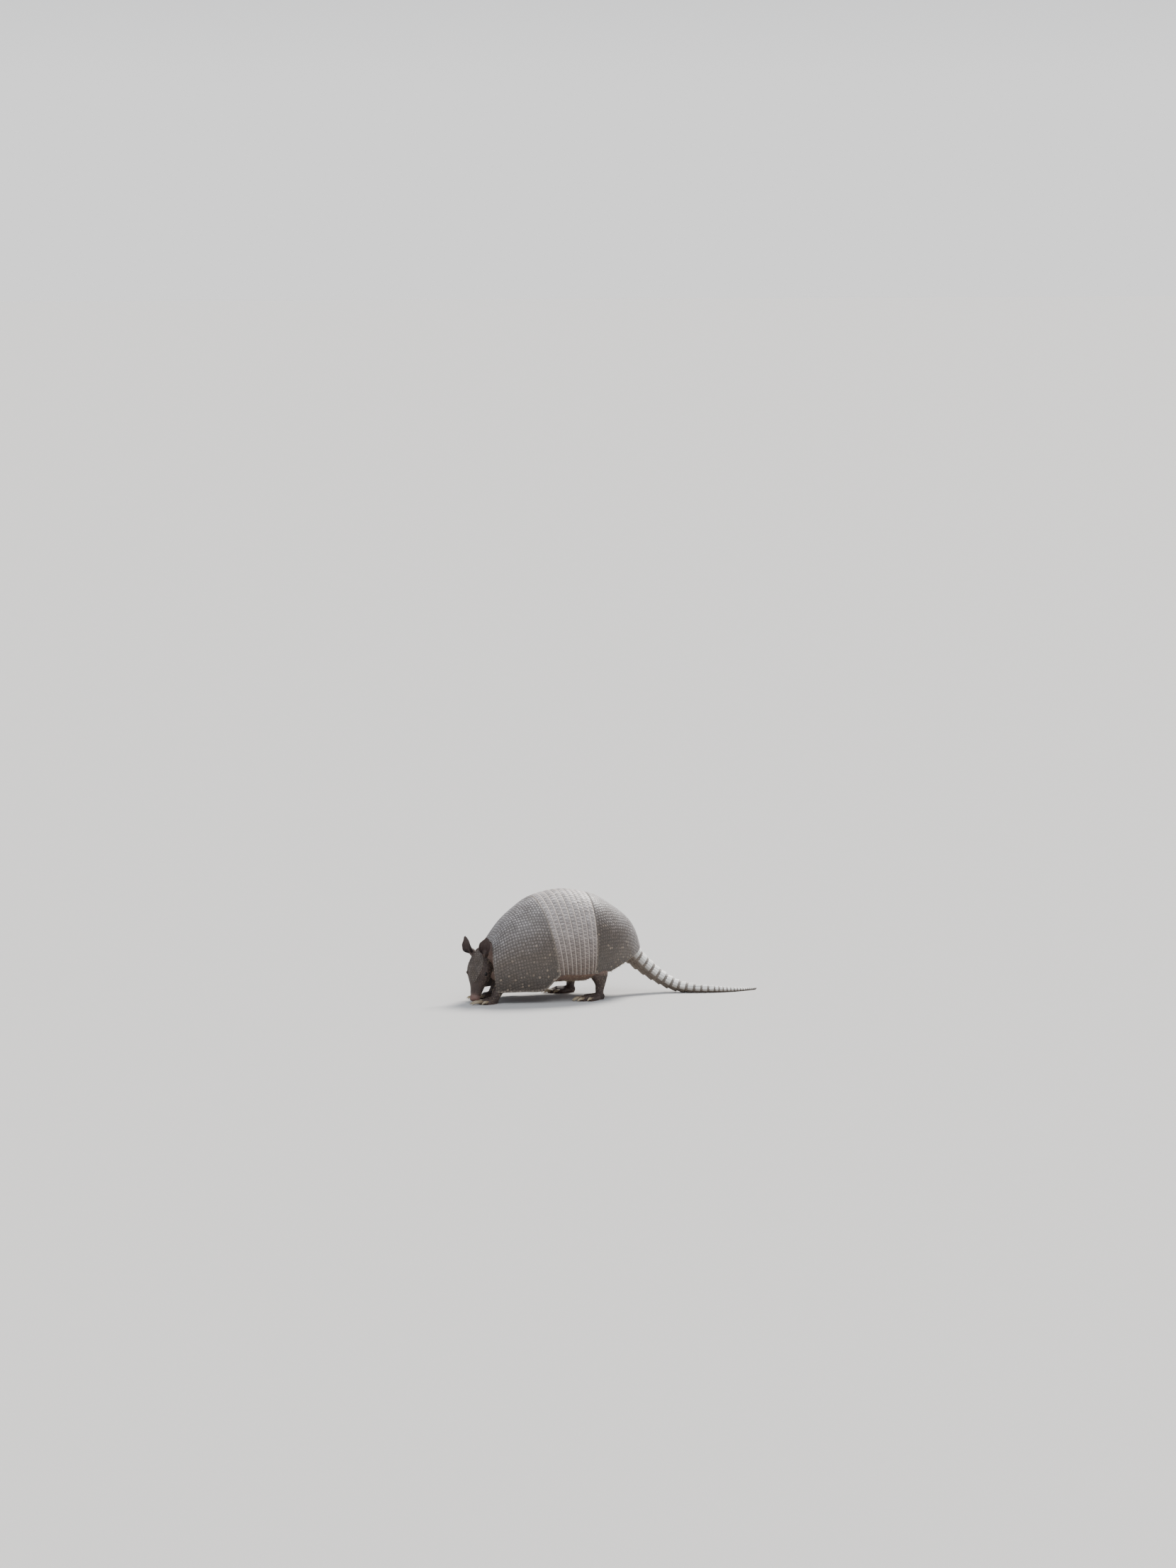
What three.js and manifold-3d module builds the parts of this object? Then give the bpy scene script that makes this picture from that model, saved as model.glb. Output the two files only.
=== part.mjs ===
// A nine-banded armadillo at life size, standing with its back arched and its head down to root in the
// ground. Millimetres. The animal faces -Y, its left side is +X and +Z is up. The origin is at the middle
// of its bounding box, on the floor that it stands on.
import * as THREE from "three";
import { mergeVertices } from "three/addons/utils/BufferGeometryUtils.js";
import Module from "manifold-3d";

const wasm = await Module();
wasm.setup();

// ---------------------------------------------------------------- driving sizes

const GAP = 0.3; // clear space between neighbouring pieces
const PLATE = 1.7; // thickness of a band
const LAP = 2.0; // how deep a band's front edge lies under the band before it
const ARMOUR = PLATE + LAP; // depth of the shields
const FLESH = ARMOUR + 1.4; // depth of the flesh under the armour's surface
const BROW = 1.4; // thickness of the head shield
const COLUMNS = 16; // facets from one rim of the carapace to the other

const BANDS = 9;
const SHOULDER_END = 0.375; // places along the carapace, from 0 at the nape to 1 at the tail
const HIP_START = 0.625;
const BAND_STEP = (HIP_START - SHOULDER_END) / BANDS;
const MM_ALONG = 0.0029; // one millimetre along the banded stretch
const UNDER = 2.4 * MM_ALONG; // how far a front edge reaches under the plate before it
const HAIR = GAP * MM_ALONG;

// Cross-sections of the carapace, evenly spaced from the nape to the tail. Each leans back by tilt
// degrees. Its ridge is rise over the centre at y and z, and its half width is wide. Its rims hang drop
// under the centre, tucked in by tuck. Its sides are moved along the body by sweep.
const CARAPACE = [
  { y: 17, z: 74, tilt: -8, rise: 49, wide: 50, drop: 53, tuck: 5, sweep: -16 },
  { y: 53, z: 82, tilt: -11, rise: 82, wide: 67, drop: 60, tuck: 6, sweep: -10 },
  { y: 91, z: 89, tilt: -12, rise: 104, wide: 80, drop: 65, tuck: 7, sweep: -3 },
  { y: 127, z: 91, tilt: -11, rise: 122, wide: 86, drop: 38, tuck: 5, sweep: 0 },
  { y: 171, z: 94, tilt: -4, rise: 128, wide: 88, drop: 40, tuck: 5, sweep: 0 },
  { y: 210, z: 93, tilt: 3, rise: 121, wide: 88, drop: 38, tuck: 5, sweep: 0 },
  { y: 222, z: 89.5, tilt: 24, rise: 110, wide: 85, drop: 36, tuck: 5, sweep: 0 },
  { y: 240, z: 75, tilt: 45, rise: 106, wide: 77, drop: 31, tuck: 4, sweep: 0 },
  { y: 254, z: 57, tilt: 65, rise: 92, wide: 62, drop: 6, tuck: 1, sweep: 0 },
];
// Height of the flesh's underside at each of those sections, from its centre.
const BELLY = [30, 45, 54, 57, 60, 59, 46, 26, 6];

const HEAD = { at: [1, -4, 102], pitch: 72, turn: 35, length: 99 };
// Half widths and half depths of the head, evenly spaced from the nape to the nose.
const SKULL = {
  wide: [15, 20.5, 24.5, 26.5, 24.5, 19, 14.2, 11.4, 10],
  top: [12, 16.5, 19, 19.5, 18, 15, 12.2, 10.3, 9],
  under: [12, 17, 20, 21.5, 20, 16, 12.3, 9.6, 7.5],
  lift: [0, 0, 0, -0.5, -1.5, -2.5, -3, -3, -2.5],
};
const EYE = { at: [20.9, -46, 6.5], radius: 3.8 };
// The ear rises along rise from the crown, open towards face.
const EAR = {
  at: [15, -4, 12],
  rise: [0.34, 0.73, 0.59],
  face: [0.15, -0.72, 0.68],
  length: 36,
  width: 26,
  thick: 1.8,
};

const TAIL_RINGS = 12;
const TAIL = { start: 6, root: 22, tip: 2.2, firstRing: 21, lastRing: 13, lip: 1.3 };

// Where each foot stands: its heel, and the way that its toes point, in degrees out from straight ahead.
const HIND = { left: [60, 234, 8], right: [-60, 221, 10] };
const FORE = { left: [37, 15, 4], right: [-38, 40, 6] };

// ---------------------------------------------------------------- colours

const paint = (color, roughness) => new THREE.MeshStandardMaterial({ color, roughness, metalness: 0 });
const COLOURS = {
  shield: paint(0x6b6260, 0.55),
  band: paint(0x8a7a72, 0.55),
  flesh: paint(0x6e5a52, 0.75),
  head: paint(0x4a403b, 0.7),
  ear: paint(0x2b2422, 0.7),
  tail: paint(0x8d857a, 0.55),
  claw: paint(0xb3a58c, 0.4),
  eye: paint(0x0c0908, 0.1),
};

// ---------------------------------------------------------------- shapes

const model = new THREE.Group();
const radians = THREE.MathUtils.degToRad;
const AHEAD = new THREE.Vector3(0, -1, 0);
const UP = new THREE.Vector3(0, 0, 1);

// A smooth value at t, from 0 to 1, through evenly spaced knots.
function spline(knots, t) {
  const last = knots.length - 1;
  const along = THREE.MathUtils.clamp(t, 0, 1) * last;
  const i = Math.min(Math.floor(along), last - 1);
  const f = along - i;
  const before = i > 0 ? knots[i - 1] : 2 * knots[0] - knots[1];
  const after = i + 2 <= last ? knots[i + 2] : 2 * knots[last] - knots[last - 1];
  const [b, c] = [knots[i], knots[i + 1]];
  const bend = 2 * before - 5 * b + 4 * c - after + f * (3 * (b - c) + after - before);
  return b + 0.5 * f * (c - before + f * bend);
}

function geometryOf(points, faces) {
  const geometry = new THREE.BufferGeometry().setFromPoints(points);
  geometry.setIndex(faces.flat());
  return geometry;
}

// A solid from a closed three.js geometry, turned so that its faces point out.
function solidOf(geometry) {
  const bare = geometry.clone();
  bare.deleteAttribute("normal");
  bare.deleteAttribute("uv");
  const merged = mergeVertices(bare, 1e-4);
  const made = (triVerts) =>
    new wasm.Manifold(
      new wasm.Mesh({ numProp: 3, vertProperties: merged.attributes.position.array, triVerts }),
    );
  const triVerts = new Uint32Array(merged.index.array);
  const solid = made(triVerts);
  return solid.volume() > 0 ? solid : made(triVerts.reverse());
}

// A solid through rings of points, with a fan over each end.
function loft(rings) {
  const n = rings[0].length;
  const points = rings.flat();
  const faces = [];
  for (let i = 0; i + 1 < rings.length; i++)
    for (let j = 0; j < n; j++) {
      const [a, b] = [i * n + j, i * n + ((j + 1) % n)];
      faces.push([a, b, b + n], [a, b + n, a + n]);
    }
  for (const [ring, turned] of [[0, true], [rings.length - 1, false]]) {
    const middle = new THREE.Vector3();
    rings[ring].forEach((p) => middle.addScaledVector(p, 1 / n));
    const hub = points.push(middle) - 1;
    for (let j = 0; j < n; j++) {
      const [a, b] = [ring * n + j, ring * n + ((j + 1) % n)];
      faces.push(turned ? [b, a, hub] : [a, b, hub]);
    }
  }
  return solidOf(geometryOf(points, faces));
}

// A solid between two grids of points that have as many rows and columns.
function slab(top, bottom) {
  const [rows, columns] = [top.length, top[0].length];
  const points = [...top.flat(), ...bottom.flat()];
  const half = rows * columns;
  const faces = [];
  const quad = (a, b, c, d) => faces.push([a, b, c], [a, c, d]);
  for (let i = 0; i + 1 < rows; i++)
    for (let j = 0; j + 1 < columns; j++) {
      const a = i * columns + j;
      quad(a, a + 1, a + columns + 1, a + columns);
      quad(half + a + columns, half + a + columns + 1, half + a + 1, half + a);
    }
  for (let j = 0; j + 1 < columns; j++) {
    const end = (rows - 1) * columns + j;
    quad(j, half + j, half + j + 1, j + 1);
    quad(end, end + 1, half + end + 1, half + end);
  }
  for (let i = 0; i + 1 < rows; i++) {
    const [near, far] = [i * columns, i * columns + columns - 1];
    quad(near, near + columns, half + near + columns, half + near);
    quad(far, half + far, half + far + columns, far + columns);
  }
  return solidOf(geometryOf(points, faces));
}

// Rings square to a line of stations { at, wide, deep }, with domed ends. A ring's width lies across `over`.
function limb(stations, over, sides) {
  const centres = stations.map((s) => new THREE.Vector3(...s.at));
  const line = new THREE.CatmullRomCurve3(centres, false, "centripetal");
  const last = stations.length - 1;
  const ringAt = (t, scale, push) => {
    const tangent = line.getTangent(t);
    const across = new THREE.Vector3().crossVectors(over, tangent).normalize();
    const upward = new THREE.Vector3().crossVectors(tangent, across);
    const centre = line.getPoint(t).addScaledVector(tangent, push);
    const wide = spline(stations.map((s) => s.wide), t) * scale;
    const deep = spline(stations.map((s) => s.deep), t) * scale;
    return Array.from({ length: sides }, (_, j) => {
      const a = (2 * Math.PI * j) / sides;
      const point = centre.clone().addScaledVector(across, wide * Math.cos(a));
      return point.addScaledVector(upward, deep * Math.sin(a));
    });
  };
  const reach = (s) => 0.5 * Math.min(s.wide, s.deep);
  const rings = [ringAt(0, 0.55, -reach(stations[0]))];
  for (let i = 0; i <= last; i++) rings.push(ringAt(i / last, 1, 0));
  rings.push(ringAt(1, 0.55, reach(stations[last])));
  return loft(rings);
}

const joined = (solids) => solids.reduce((all, next) => all.add(next));
const moved = (solid, group) => {
  group.updateMatrix();
  return solid.transform(group.matrix.elements);
};
const mirroredIf = (right, solid) => {
  if (!right) return solid;
  return solid.transform(new THREE.Matrix4().makeScale(-1, 1, 1).elements);
};

function show(group, name, solid, material) {
  const mesh = solid.getMesh();
  const geometry = new THREE.BufferGeometry();
  geometry.setAttribute("position", new THREE.BufferAttribute(mesh.vertProperties, 3));
  geometry.setIndex(new THREE.BufferAttribute(mesh.triVerts, 1));
  geometry.computeVertexNormals();
  const shown = new THREE.Mesh(geometry, material);
  shown.name = name;
  group.add(shown);
}

// The ground as a block, to cut soles flat.
const ground = solidOf(new THREE.BoxGeometry(1000, 1500, 60).translate(0, 300, -30));

// ---------------------------------------------------------------- carapace

// The sizes of the carapace's section at s, between the cross-sections above.
function sectionAt(s) {
  const sizes = {};
  for (const key of Object.keys(CARAPACE[0])) sizes[key] = spline(CARAPACE.map((c) => c[key]), s);
  return sizes;
}

// The carapace's section at s, moved outwards by out: points from the right rim over the ridge to the
// left rim. The rims hang lower by grow.
function rib(s, out, grow = 0) {
  const at = sectionAt(s);
  const [archSteps, sideSteps] = [24, 8];
  const half = [];
  for (let i = 0; i <= archSteps; i++) {
    const a = (i / archSteps) * (Math.PI / 2);
    half.push(new THREE.Vector2((at.wide + out) * Math.sin(a), (at.rise + out) * Math.cos(a)));
  }
  for (let i = 1; i <= sideSteps; i++) {
    const t = i / sideSteps;
    half.push(new THREE.Vector2(at.wide + out - at.tuck * t * t, -(at.drop + grow) * t));
  }
  const spaced = new THREE.SplineCurve(half).getSpacedPoints(COLUMNS / 2);
  const lean = radians(at.tilt);
  const left = spaced.map((p, i) => {
    const swept = at.sweep * THREE.MathUtils.smoothstep(i / spaced.length, 0, 0.5);
    return new THREE.Vector3(p.x, at.y + p.y * Math.sin(lean) + swept, at.z + p.y * Math.cos(lean));
  });
  const right = left.slice(1).map((p) => new THREE.Vector3(-p.x, p.y, p.z));
  return [...right.reverse(), ...left];
}

// A plate of the carapace, from stations [s, outer surface, inner surface].
function plate(stations, grow = 0) {
  const top = stations.map(([s, outer]) => rib(s, outer + grow, grow));
  const bottom = stations.map(([s, , inner]) => rib(s, inner - grow, grow));
  return slab(top, bottom);
}

// A front edge at s, tucked down under the plate before it.
const tucked = (s) => [
  [s - UNDER, -LAP - 2 * GAP, -ARMOUR - 1.5 * GAP],
  [s, -LAP, -ARMOUR],
];

// The shoulder shield thins to a plate where it covers the first band.
const shoulderStations = [0, 0.08, 0.16, 0.24, 0.31, SHOULDER_END - 2 * UNDER]
  .map((s) => [s, 0, -ARMOUR])
  .concat([SHOULDER_END - 1.3 * UNDER, SHOULDER_END - HAIR].map((s) => [s, 0, -PLATE]));

const bandStations = (k) => {
  const front = SHOULDER_END + k * BAND_STEP;
  return [...tucked(front), [front + BAND_STEP - HAIR, 0, -PLATE]];
};

const hipStations = [
  ...tucked(HIP_START),
  ...[HIP_START + UNDER, 0.7, 0.76, 0.82, 0.88, 0.94, 1].map((s) => [s, 0, -ARMOUR]),
];

const shoulderShield = plate(shoulderStations);
const hipShield = plate(hipStations);
show(model, "scapular_shield", shoulderShield, COLOURS.shield);
for (let k = 0; k < BANDS; k++) show(model, `band_${k + 1}`, plate(bandStations(k)), COLOURS.band);
show(model, "pelvic_shield", hipShield, COLOURS.shield);
const grownShields = joined([plate(shoulderStations, GAP), plate(hipStations, GAP)]);

// ---------------------------------------------------------------- trunk

const UNDERSIDE_FACETS = 8;

// The flesh fills the carapace and sags between the rims. Its ends are domed.
function trunk(grow = 0) {
  const ringAt = (s, scale, push) => {
    const arch = rib(s, grow - FLESH).slice(1, -1);
    const at = sectionAt(s);
    const lean = radians(at.tilt);
    const centre = new THREE.Vector3(0, at.y, at.z);
    const down = new THREE.Vector3(0, -Math.sin(lean), -Math.cos(lean));
    const [right, left] = [arch[0], arch[arch.length - 1]];
    const edge = left.clone().sub(centre).dot(down);
    const sag = spline(BELLY, s) + grow - edge;
    const underside = [];
    for (let j = 1; j < UNDERSIDE_FACETS; j++) {
      const a = (j / UNDERSIDE_FACETS) * Math.PI;
      const point = new THREE.Vector3(left.x * Math.cos(a), left.y, left.z);
      underside.push(point.addScaledVector(down, sag * Math.sin(a) ** 0.8));
    }
    const along = new THREE.Vector3(0, Math.cos(lean), -Math.sin(lean));
    return [...arch, ...underside].map((p) =>
      p.clone().lerp(centre, 1 - scale).addScaledVector(along, push),
    );
  };
  const [chest, rump, steps] = [0.03, 0.99, 9];
  const rings = [ringAt(chest, 0.5, -7 - grow), ringAt(chest, 0.85, -4 - grow)];
  for (let i = 0; i < steps; i++) rings.push(ringAt(chest + 0.1 * i, 1, 0));
  rings.push(ringAt(rump, 1, 0), ringAt(rump, 0.8, 6 + grow), ringAt(rump, 0.4, 9 + grow));
  return loft(rings);
}

const grownTrunk = trunk().add(trunk(2 * GAP));

// ---------------------------------------------------------------- head

const head = new THREE.Group();
head.position.set(...HEAD.at);
head.rotation.set(radians(HEAD.pitch), 0, radians(HEAD.turn), "ZXY");
model.add(head);

// The head along -Y from its nape, with its crown up, before it is turned down.
function skull(grow) {
  const [sides, steps] = [16, 10];
  const ringAt = (t, scale, push) => {
    const at = (key) => spline(SKULL[key], t);
    return Array.from({ length: sides }, (_, j) => {
      const a = (2 * Math.PI * j) / sides;
      const deep = (Math.cos(a) > 0 ? at("top") : at("under")) + grow;
      return new THREE.Vector3(
        scale * (at("wide") + grow) * Math.sin(a),
        -t * HEAD.length - push,
        at("lift") + scale * deep * Math.cos(a),
      );
    });
  };
  const rings = [ringAt(0, 0.5, -7 - grow), ringAt(0, 0.85, -4 - grow)];
  for (let i = 0; i <= steps; i++) rings.push(ringAt(i / steps, 1, 0));
  rings.push(ringAt(1, 0.72, 2.4 + grow), ringAt(1, 0.3, 3.2 + grow));
  return loft(rings);
}

function eyeball(right, grow) {
  const ball = new THREE.SphereGeometry(EYE.radius + grow, 8, 6).translate(...EYE.at);
  return mirroredIf(right, solidOf(ball));
}

// A scoop of constant thickness that leans back and out from the crown, open to the front.
function ear(right, grow) {
  const rise = new THREE.Vector3(...EAR.rise).normalize();
  const face = new THREE.Vector3(...EAR.face);
  face.addScaledVector(rise, -face.dot(rise)).normalize();
  const across = new THREE.Vector3().crossVectors(rise, face);
  const base = new THREE.Vector3(...EAR.at);
  const [rows, columns] = [6, 6];
  const surface = (depth) =>
    Array.from({ length: rows + 1 }, (_, i) => {
      const t = i / rows;
      const half = (EAR.width / 2) * spline([0.55, 0.86, 1, 0.93, 0.42], t);
      const wrap = radians(spline([120, 95, 75, 60, 50], t));
      const radius = half / Math.sin(Math.min(wrap, Math.PI / 2)) + depth;
      return Array.from({ length: columns + 1 }, (_, j) => {
        const q = (2 * j) / columns - 1;
        return base
          .clone()
          .addScaledVector(rise, EAR.length * t - 6 * q * q * t * t)
          .addScaledVector(across, radius * Math.sin(q * wrap))
          .addScaledVector(face, -radius * Math.cos(q * wrap) + half);
      });
    });
  return mirroredIf(right, slab(surface(grow), surface(-EAR.thick - grow)));
}

// The mosaic of small plates over the brow, from the crown to the middle of the muzzle.
function headShield() {
  const outline = new THREE.Shape();
  outline.moveTo(0, 4);
  outline.quadraticCurveTo(12, 2, 14, -12);
  outline.bezierCurveTo(20, -24, 20, -38, 12, -52);
  outline.quadraticCurveTo(8, -64, 0, -68);
  outline.quadraticCurveTo(-8, -64, -12, -52);
  outline.bezierCurveTo(-20, -38, -20, -24, -14, -12);
  outline.quadraticCurveTo(-12, 2, 0, 4);
  const cutter = new THREE.ExtrudeGeometry(outline, { depth: 60, bevelEnabled: false, curveSegments: 3 });
  return skull(GAP + BROW).subtract(skull(GAP)).intersect(solidOf(cutter));
}

const skin = skull(0).subtract(eyeball(false, GAP)).subtract(eyeball(true, GAP));
show(head, "head", skin, COLOURS.head);
const brow = headShield().subtract(ear(false, GAP)).subtract(ear(true, GAP));
show(head, "head_shield", brow, COLOURS.shield);
const grownSkull = skull(GAP);
for (const side of ["left", "right"]) {
  const right = side === "right";
  show(head, `ear_${side}`, ear(right, 0).subtract(grownSkull), COLOURS.ear);
  show(head, `eye_${side}`, eyeball(right, 0), COLOURS.eye);
}

// ---------------------------------------------------------------- neck

const neckStations = [
  { at: [0, 34, 88], wide: 38, deep: 32 },
  { at: [0, 18, 90], wide: 36, deep: 30 },
  { at: [-1, 4, 88], wide: 28, deep: 25 },
  { at: [0, -6, 82], wide: 21, deep: 20 },
];
const grownHead = moved(joined([skull(2 * GAP + BROW), ear(false, GAP), ear(true, GAP)]), head);
const neck = limb(neckStations, UP, 12)
  .subtract(grownTrunk)
  .subtract(grownShields)
  .subtract(grownHead);
show(model, "neck", neck, COLOURS.flesh);

// ---------------------------------------------------------------- legs

// Toes fan out from the ball of a foot, here a left one. A toe starts at side and start, in the foot's frame,
// and is long and thick, with a claw of its own length. It points fan degrees outwards.
const HIND_TOES = [-2, -1, 0, 1, 2].map((i) => ({
  side: 6.3 * i,
  start: 40 - 3.2 * i * i,
  long: Math.abs(i) < 2 ? 15 : 11,
  claw: Math.abs(i) < 2 ? 15 : 10,
  fan: 7 * i,
  thick: 4.6,
}));
const FORE_TOES = [-1.5, -0.5, 0.5, 1.5].map((i) => ({
  side: 6.2 * i,
  start: 26 - 2.6 * i * i,
  long: Math.abs(i) < 1 ? 13 : 9,
  claw: Math.abs(i) < 1 ? 22 : 13,
  fan: 6 * i,
  thick: 4.4,
}));

// A point `far` along a toe from where it starts, at a height.
function onToe(toe, far, height) {
  const a = radians(toe.fan);
  return [toe.side + far * Math.sin(a), -toe.start - far * Math.cos(a), height];
}

function toeFlesh(toe) {
  const stations = [
    { at: onToe(toe, -8, 4.4), wide: toe.thick, deep: toe.thick + 1 },
    { at: onToe(toe, toe.long, 3.4), wide: toe.thick - 0.8, deep: toe.thick - 0.4 },
  ];
  return limb(stations, UP, 6);
}

// A claw butts against the round end of its toe and curves down to the ground.
function clawHorn(toe) {
  const stations = [
    { at: onToe(toe, toe.long + 4, 5), wide: 3, deep: 3.1 },
    { at: onToe(toe, toe.long + toe.claw * 0.6, 4.8), wide: 2.4, deep: 2.6 },
    { at: onToe(toe, toe.long + toe.claw, 1.5), wide: 0.9, deep: 1 },
  ];
  return limb(stations, UP, 4);
}

// A leg and its foot, in the foot's frame: heel at the origin, toes along -Y. Stations run up the leg.
function leg(name, [x, y, turn], right, sole, shank, toes) {
  const foot = new THREE.Group();
  foot.position.set(x, y, 0);
  foot.rotation.z = radians(right ? -turn : turn);
  model.add(foot);
  foot.updateMatrix();
  const toFoot = foot.matrix.clone().invert().elements;
  const whole = joined([limb(sole, UP, 8), limb(shank, AHEAD, 8), ...toes.map(toeFlesh)]);
  const flesh = mirroredIf(right, whole)
    .subtract(grownTrunk.transform(toFoot))
    .subtract(grownShields.transform(toFoot))
    .subtract(ground);
  const largest = flesh.decompose().sort((a, b) => b.volume() - a.volume())[0];
  show(foot, name, largest, COLOURS.flesh);
  toes.forEach((toe, i) => {
    const claw = mirroredIf(right, clawHorn(toe)).subtract(ground);
    show(foot, `${name.replace("leg", "claw")}_${i + 1}`, claw, COLOURS.claw);
  });
}

const HIND_SOLE = [
  { at: [0, -3, 7], wide: 8, deep: 8 },
  { at: [0, -22, 6.5], wide: 10, deep: 8 },
  { at: [0, -38, 6], wide: 14, deep: 7.5 },
];
const HIND_SHANK = [
  { at: [0, -6, 10], wide: 9, deep: 10 },
  { at: [-1, -6, 28], wide: 10, deep: 12 },
  { at: [-3, -8, 48], wide: 14, deep: 19 },
  { at: [-8, -14, 76], wide: 17, deep: 27 },
];
const FORE_SOLE = [
  { at: [0, -4, 6.5], wide: 8.5, deep: 7.5 },
  { at: [0, -14, 6.5], wide: 11, deep: 7.5 },
  { at: [0, -24, 6], wide: 12, deep: 7 },
];
const FORE_SHANK = [
  { at: [0, -8, 9], wide: 9, deep: 9 },
  { at: [-1, 0, 23], wide: 9.5, deep: 10.5 },
  { at: [-3, 13, 38], wide: 11.5, deep: 14 },
  { at: [-8, 32, 58], wide: 14, deep: 17 },
];

for (const side of ["left", "right"]) {
  leg(`leg_front_${side}`, FORE[side], side === "right", FORE_SOLE, FORE_SHANK, FORE_TOES);
  leg(`leg_hind_${side}`, HIND[side], side === "right", HIND_SOLE, HIND_SHANK, HIND_TOES);
}

// ---------------------------------------------------------------- tail

// The tail leaves under the rear edge of the carapace, comes down to the floor and trails on it, bending
// away.
const tailLine = new THREE.CatmullRomCurve3(
  [
    [0, 308, 94],
    [0, 330, 72],
    [2, 354, 51],
    [8, 379, 32],
    [20, 406, 16],
    [38, 437, 8.6],
    [54, 481, 6],
    [58, 530, 3.4],
    [47, 578, 2.4],
  ].map((p) => new THREE.Vector3(...p)),
);
const tailLength = tailLine.getLength();
const taper = (far) => {
  const t = far / tailLength;
  return THREE.MathUtils.lerp(TAIL.root, TAIL.tip, t ** 0.8);
};

// A round section of the tail at a distance along it.
function tailRing(far, radius, sides) {
  const t = THREE.MathUtils.clamp(far / tailLength, 0, 1);
  const tangent = tailLine.getTangentAt(t);
  const across = new THREE.Vector3().crossVectors(UP, tangent).normalize();
  const upward = new THREE.Vector3().crossVectors(tangent, across);
  const centre = tailLine.getPointAt(t);
  return Array.from({ length: sides }, (_, j) => {
    const a = (2 * Math.PI * (j + 0.5)) / sides;
    return centre
      .clone()
      .addScaledVector(across, radius * Math.cos(a))
      .addScaledVector(upward, radius * Math.sin(a));
  });
}

let far = TAIL.start;
for (let k = 0; k < TAIL_RINGS; k++) {
  const length = THREE.MathUtils.lerp(TAIL.firstRing, TAIL.lastRing, k / (TAIL_RINGS - 1));
  const [front, rear] = [far + GAP / 2, far + length - GAP / 2];
  const sleeve = loft([
    tailRing(front, taper(front) - TAIL.lip, 12),
    tailRing(rear, taper(rear) + TAIL.lip * 0.6, 12),
  ]);
  const ring = sleeve.subtract(grownTrunk).subtract(grownShields).subtract(ground);
  show(model, `tail_ring_${k + 1}`, ring, COLOURS.tail);
  far += length;
}
const tipRings = [];
const tipSteps = 7;
for (let i = 0; i <= tipSteps; i++) {
  const at = THREE.MathUtils.lerp(far + GAP / 2, tailLength, i / tipSteps);
  tipRings.push(tailRing(at, taper(at) - TAIL.lip * 0.5 * (1 - i / tipSteps), 8));
}
show(model, "tail_tip", loft(tipRings).subtract(ground), COLOURS.tail);

// The legs and the root of the tail are outside the trunk, so it stays whole.
show(model, "trunk", trunk(), COLOURS.flesh);

// ---------------------------------------------------------------- origin

model.updateMatrixWorld(true);
const whole = new THREE.Box3().setFromObject(model, true);
const middle = whole.getCenter(new THREE.Vector3());
model.position.set(-middle.x, -middle.y, -whole.min.z);

export default model;
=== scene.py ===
"""A nine-banded armadillo at life size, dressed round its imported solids.

Sizes are millimetres in the animal's own frame: it faces -Y, its left side is +X and the floor is z = 0.
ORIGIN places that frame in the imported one, and Sheets.make turns its points into metres.
"""
import math

import bmesh
import bpy
import numpy as np
from mathutils import Euler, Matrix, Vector
from mathutils.bvhtree import BVHTree
from mathutils.kdtree import KDTree


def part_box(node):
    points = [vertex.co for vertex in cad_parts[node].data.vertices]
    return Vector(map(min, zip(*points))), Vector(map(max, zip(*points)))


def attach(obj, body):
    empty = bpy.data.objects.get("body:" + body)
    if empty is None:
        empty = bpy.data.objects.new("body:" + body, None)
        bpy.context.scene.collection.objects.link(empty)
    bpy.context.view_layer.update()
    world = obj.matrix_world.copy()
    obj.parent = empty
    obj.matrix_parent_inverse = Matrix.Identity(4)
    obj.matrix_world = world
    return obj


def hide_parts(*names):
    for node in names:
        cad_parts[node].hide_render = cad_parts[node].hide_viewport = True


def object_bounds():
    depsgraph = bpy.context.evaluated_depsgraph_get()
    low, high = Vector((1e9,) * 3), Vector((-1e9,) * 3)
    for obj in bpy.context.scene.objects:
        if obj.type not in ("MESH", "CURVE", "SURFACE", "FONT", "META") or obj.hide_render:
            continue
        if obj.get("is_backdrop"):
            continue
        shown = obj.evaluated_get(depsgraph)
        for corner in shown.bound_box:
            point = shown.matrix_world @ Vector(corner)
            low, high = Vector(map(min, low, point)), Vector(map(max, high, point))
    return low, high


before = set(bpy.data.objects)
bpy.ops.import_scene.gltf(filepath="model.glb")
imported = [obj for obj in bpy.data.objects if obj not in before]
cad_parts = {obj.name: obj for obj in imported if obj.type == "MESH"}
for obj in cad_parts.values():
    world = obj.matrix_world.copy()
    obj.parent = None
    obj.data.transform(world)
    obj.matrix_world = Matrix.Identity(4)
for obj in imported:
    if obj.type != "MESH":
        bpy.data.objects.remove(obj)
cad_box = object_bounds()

MM = 0.001

# ---------------------------------------------------------------- sizes of the animal

GAP = 0.3
PLATE = 1.7  # thickness of a band
LAP = 2.0  # height of the step from one band down to the next
ARMOUR = PLATE + LAP  # thickness of the shields
FLESH = ARMOUR + 1.4  # depth of the flesh under the armour's surface
RELIEF = 0.95  # the scutes stand up this much from the plates, inside the solids' surface

BANDS = 9
SHOULDER_END, HIP_START = 0.375, 0.625  # places along the carapace, from nape to tail
BAND_STEP = (HIP_START - SHOULDER_END) / BANDS
MM_ALONG = 0.0029  # one millimetre along the banded stretch

ROSETTE, WEDGE, BROW_SCUTE, RING_SCUTE = 6.6, 7.6, 4.9, 5.6  # from one scute to the next, in mm

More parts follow.
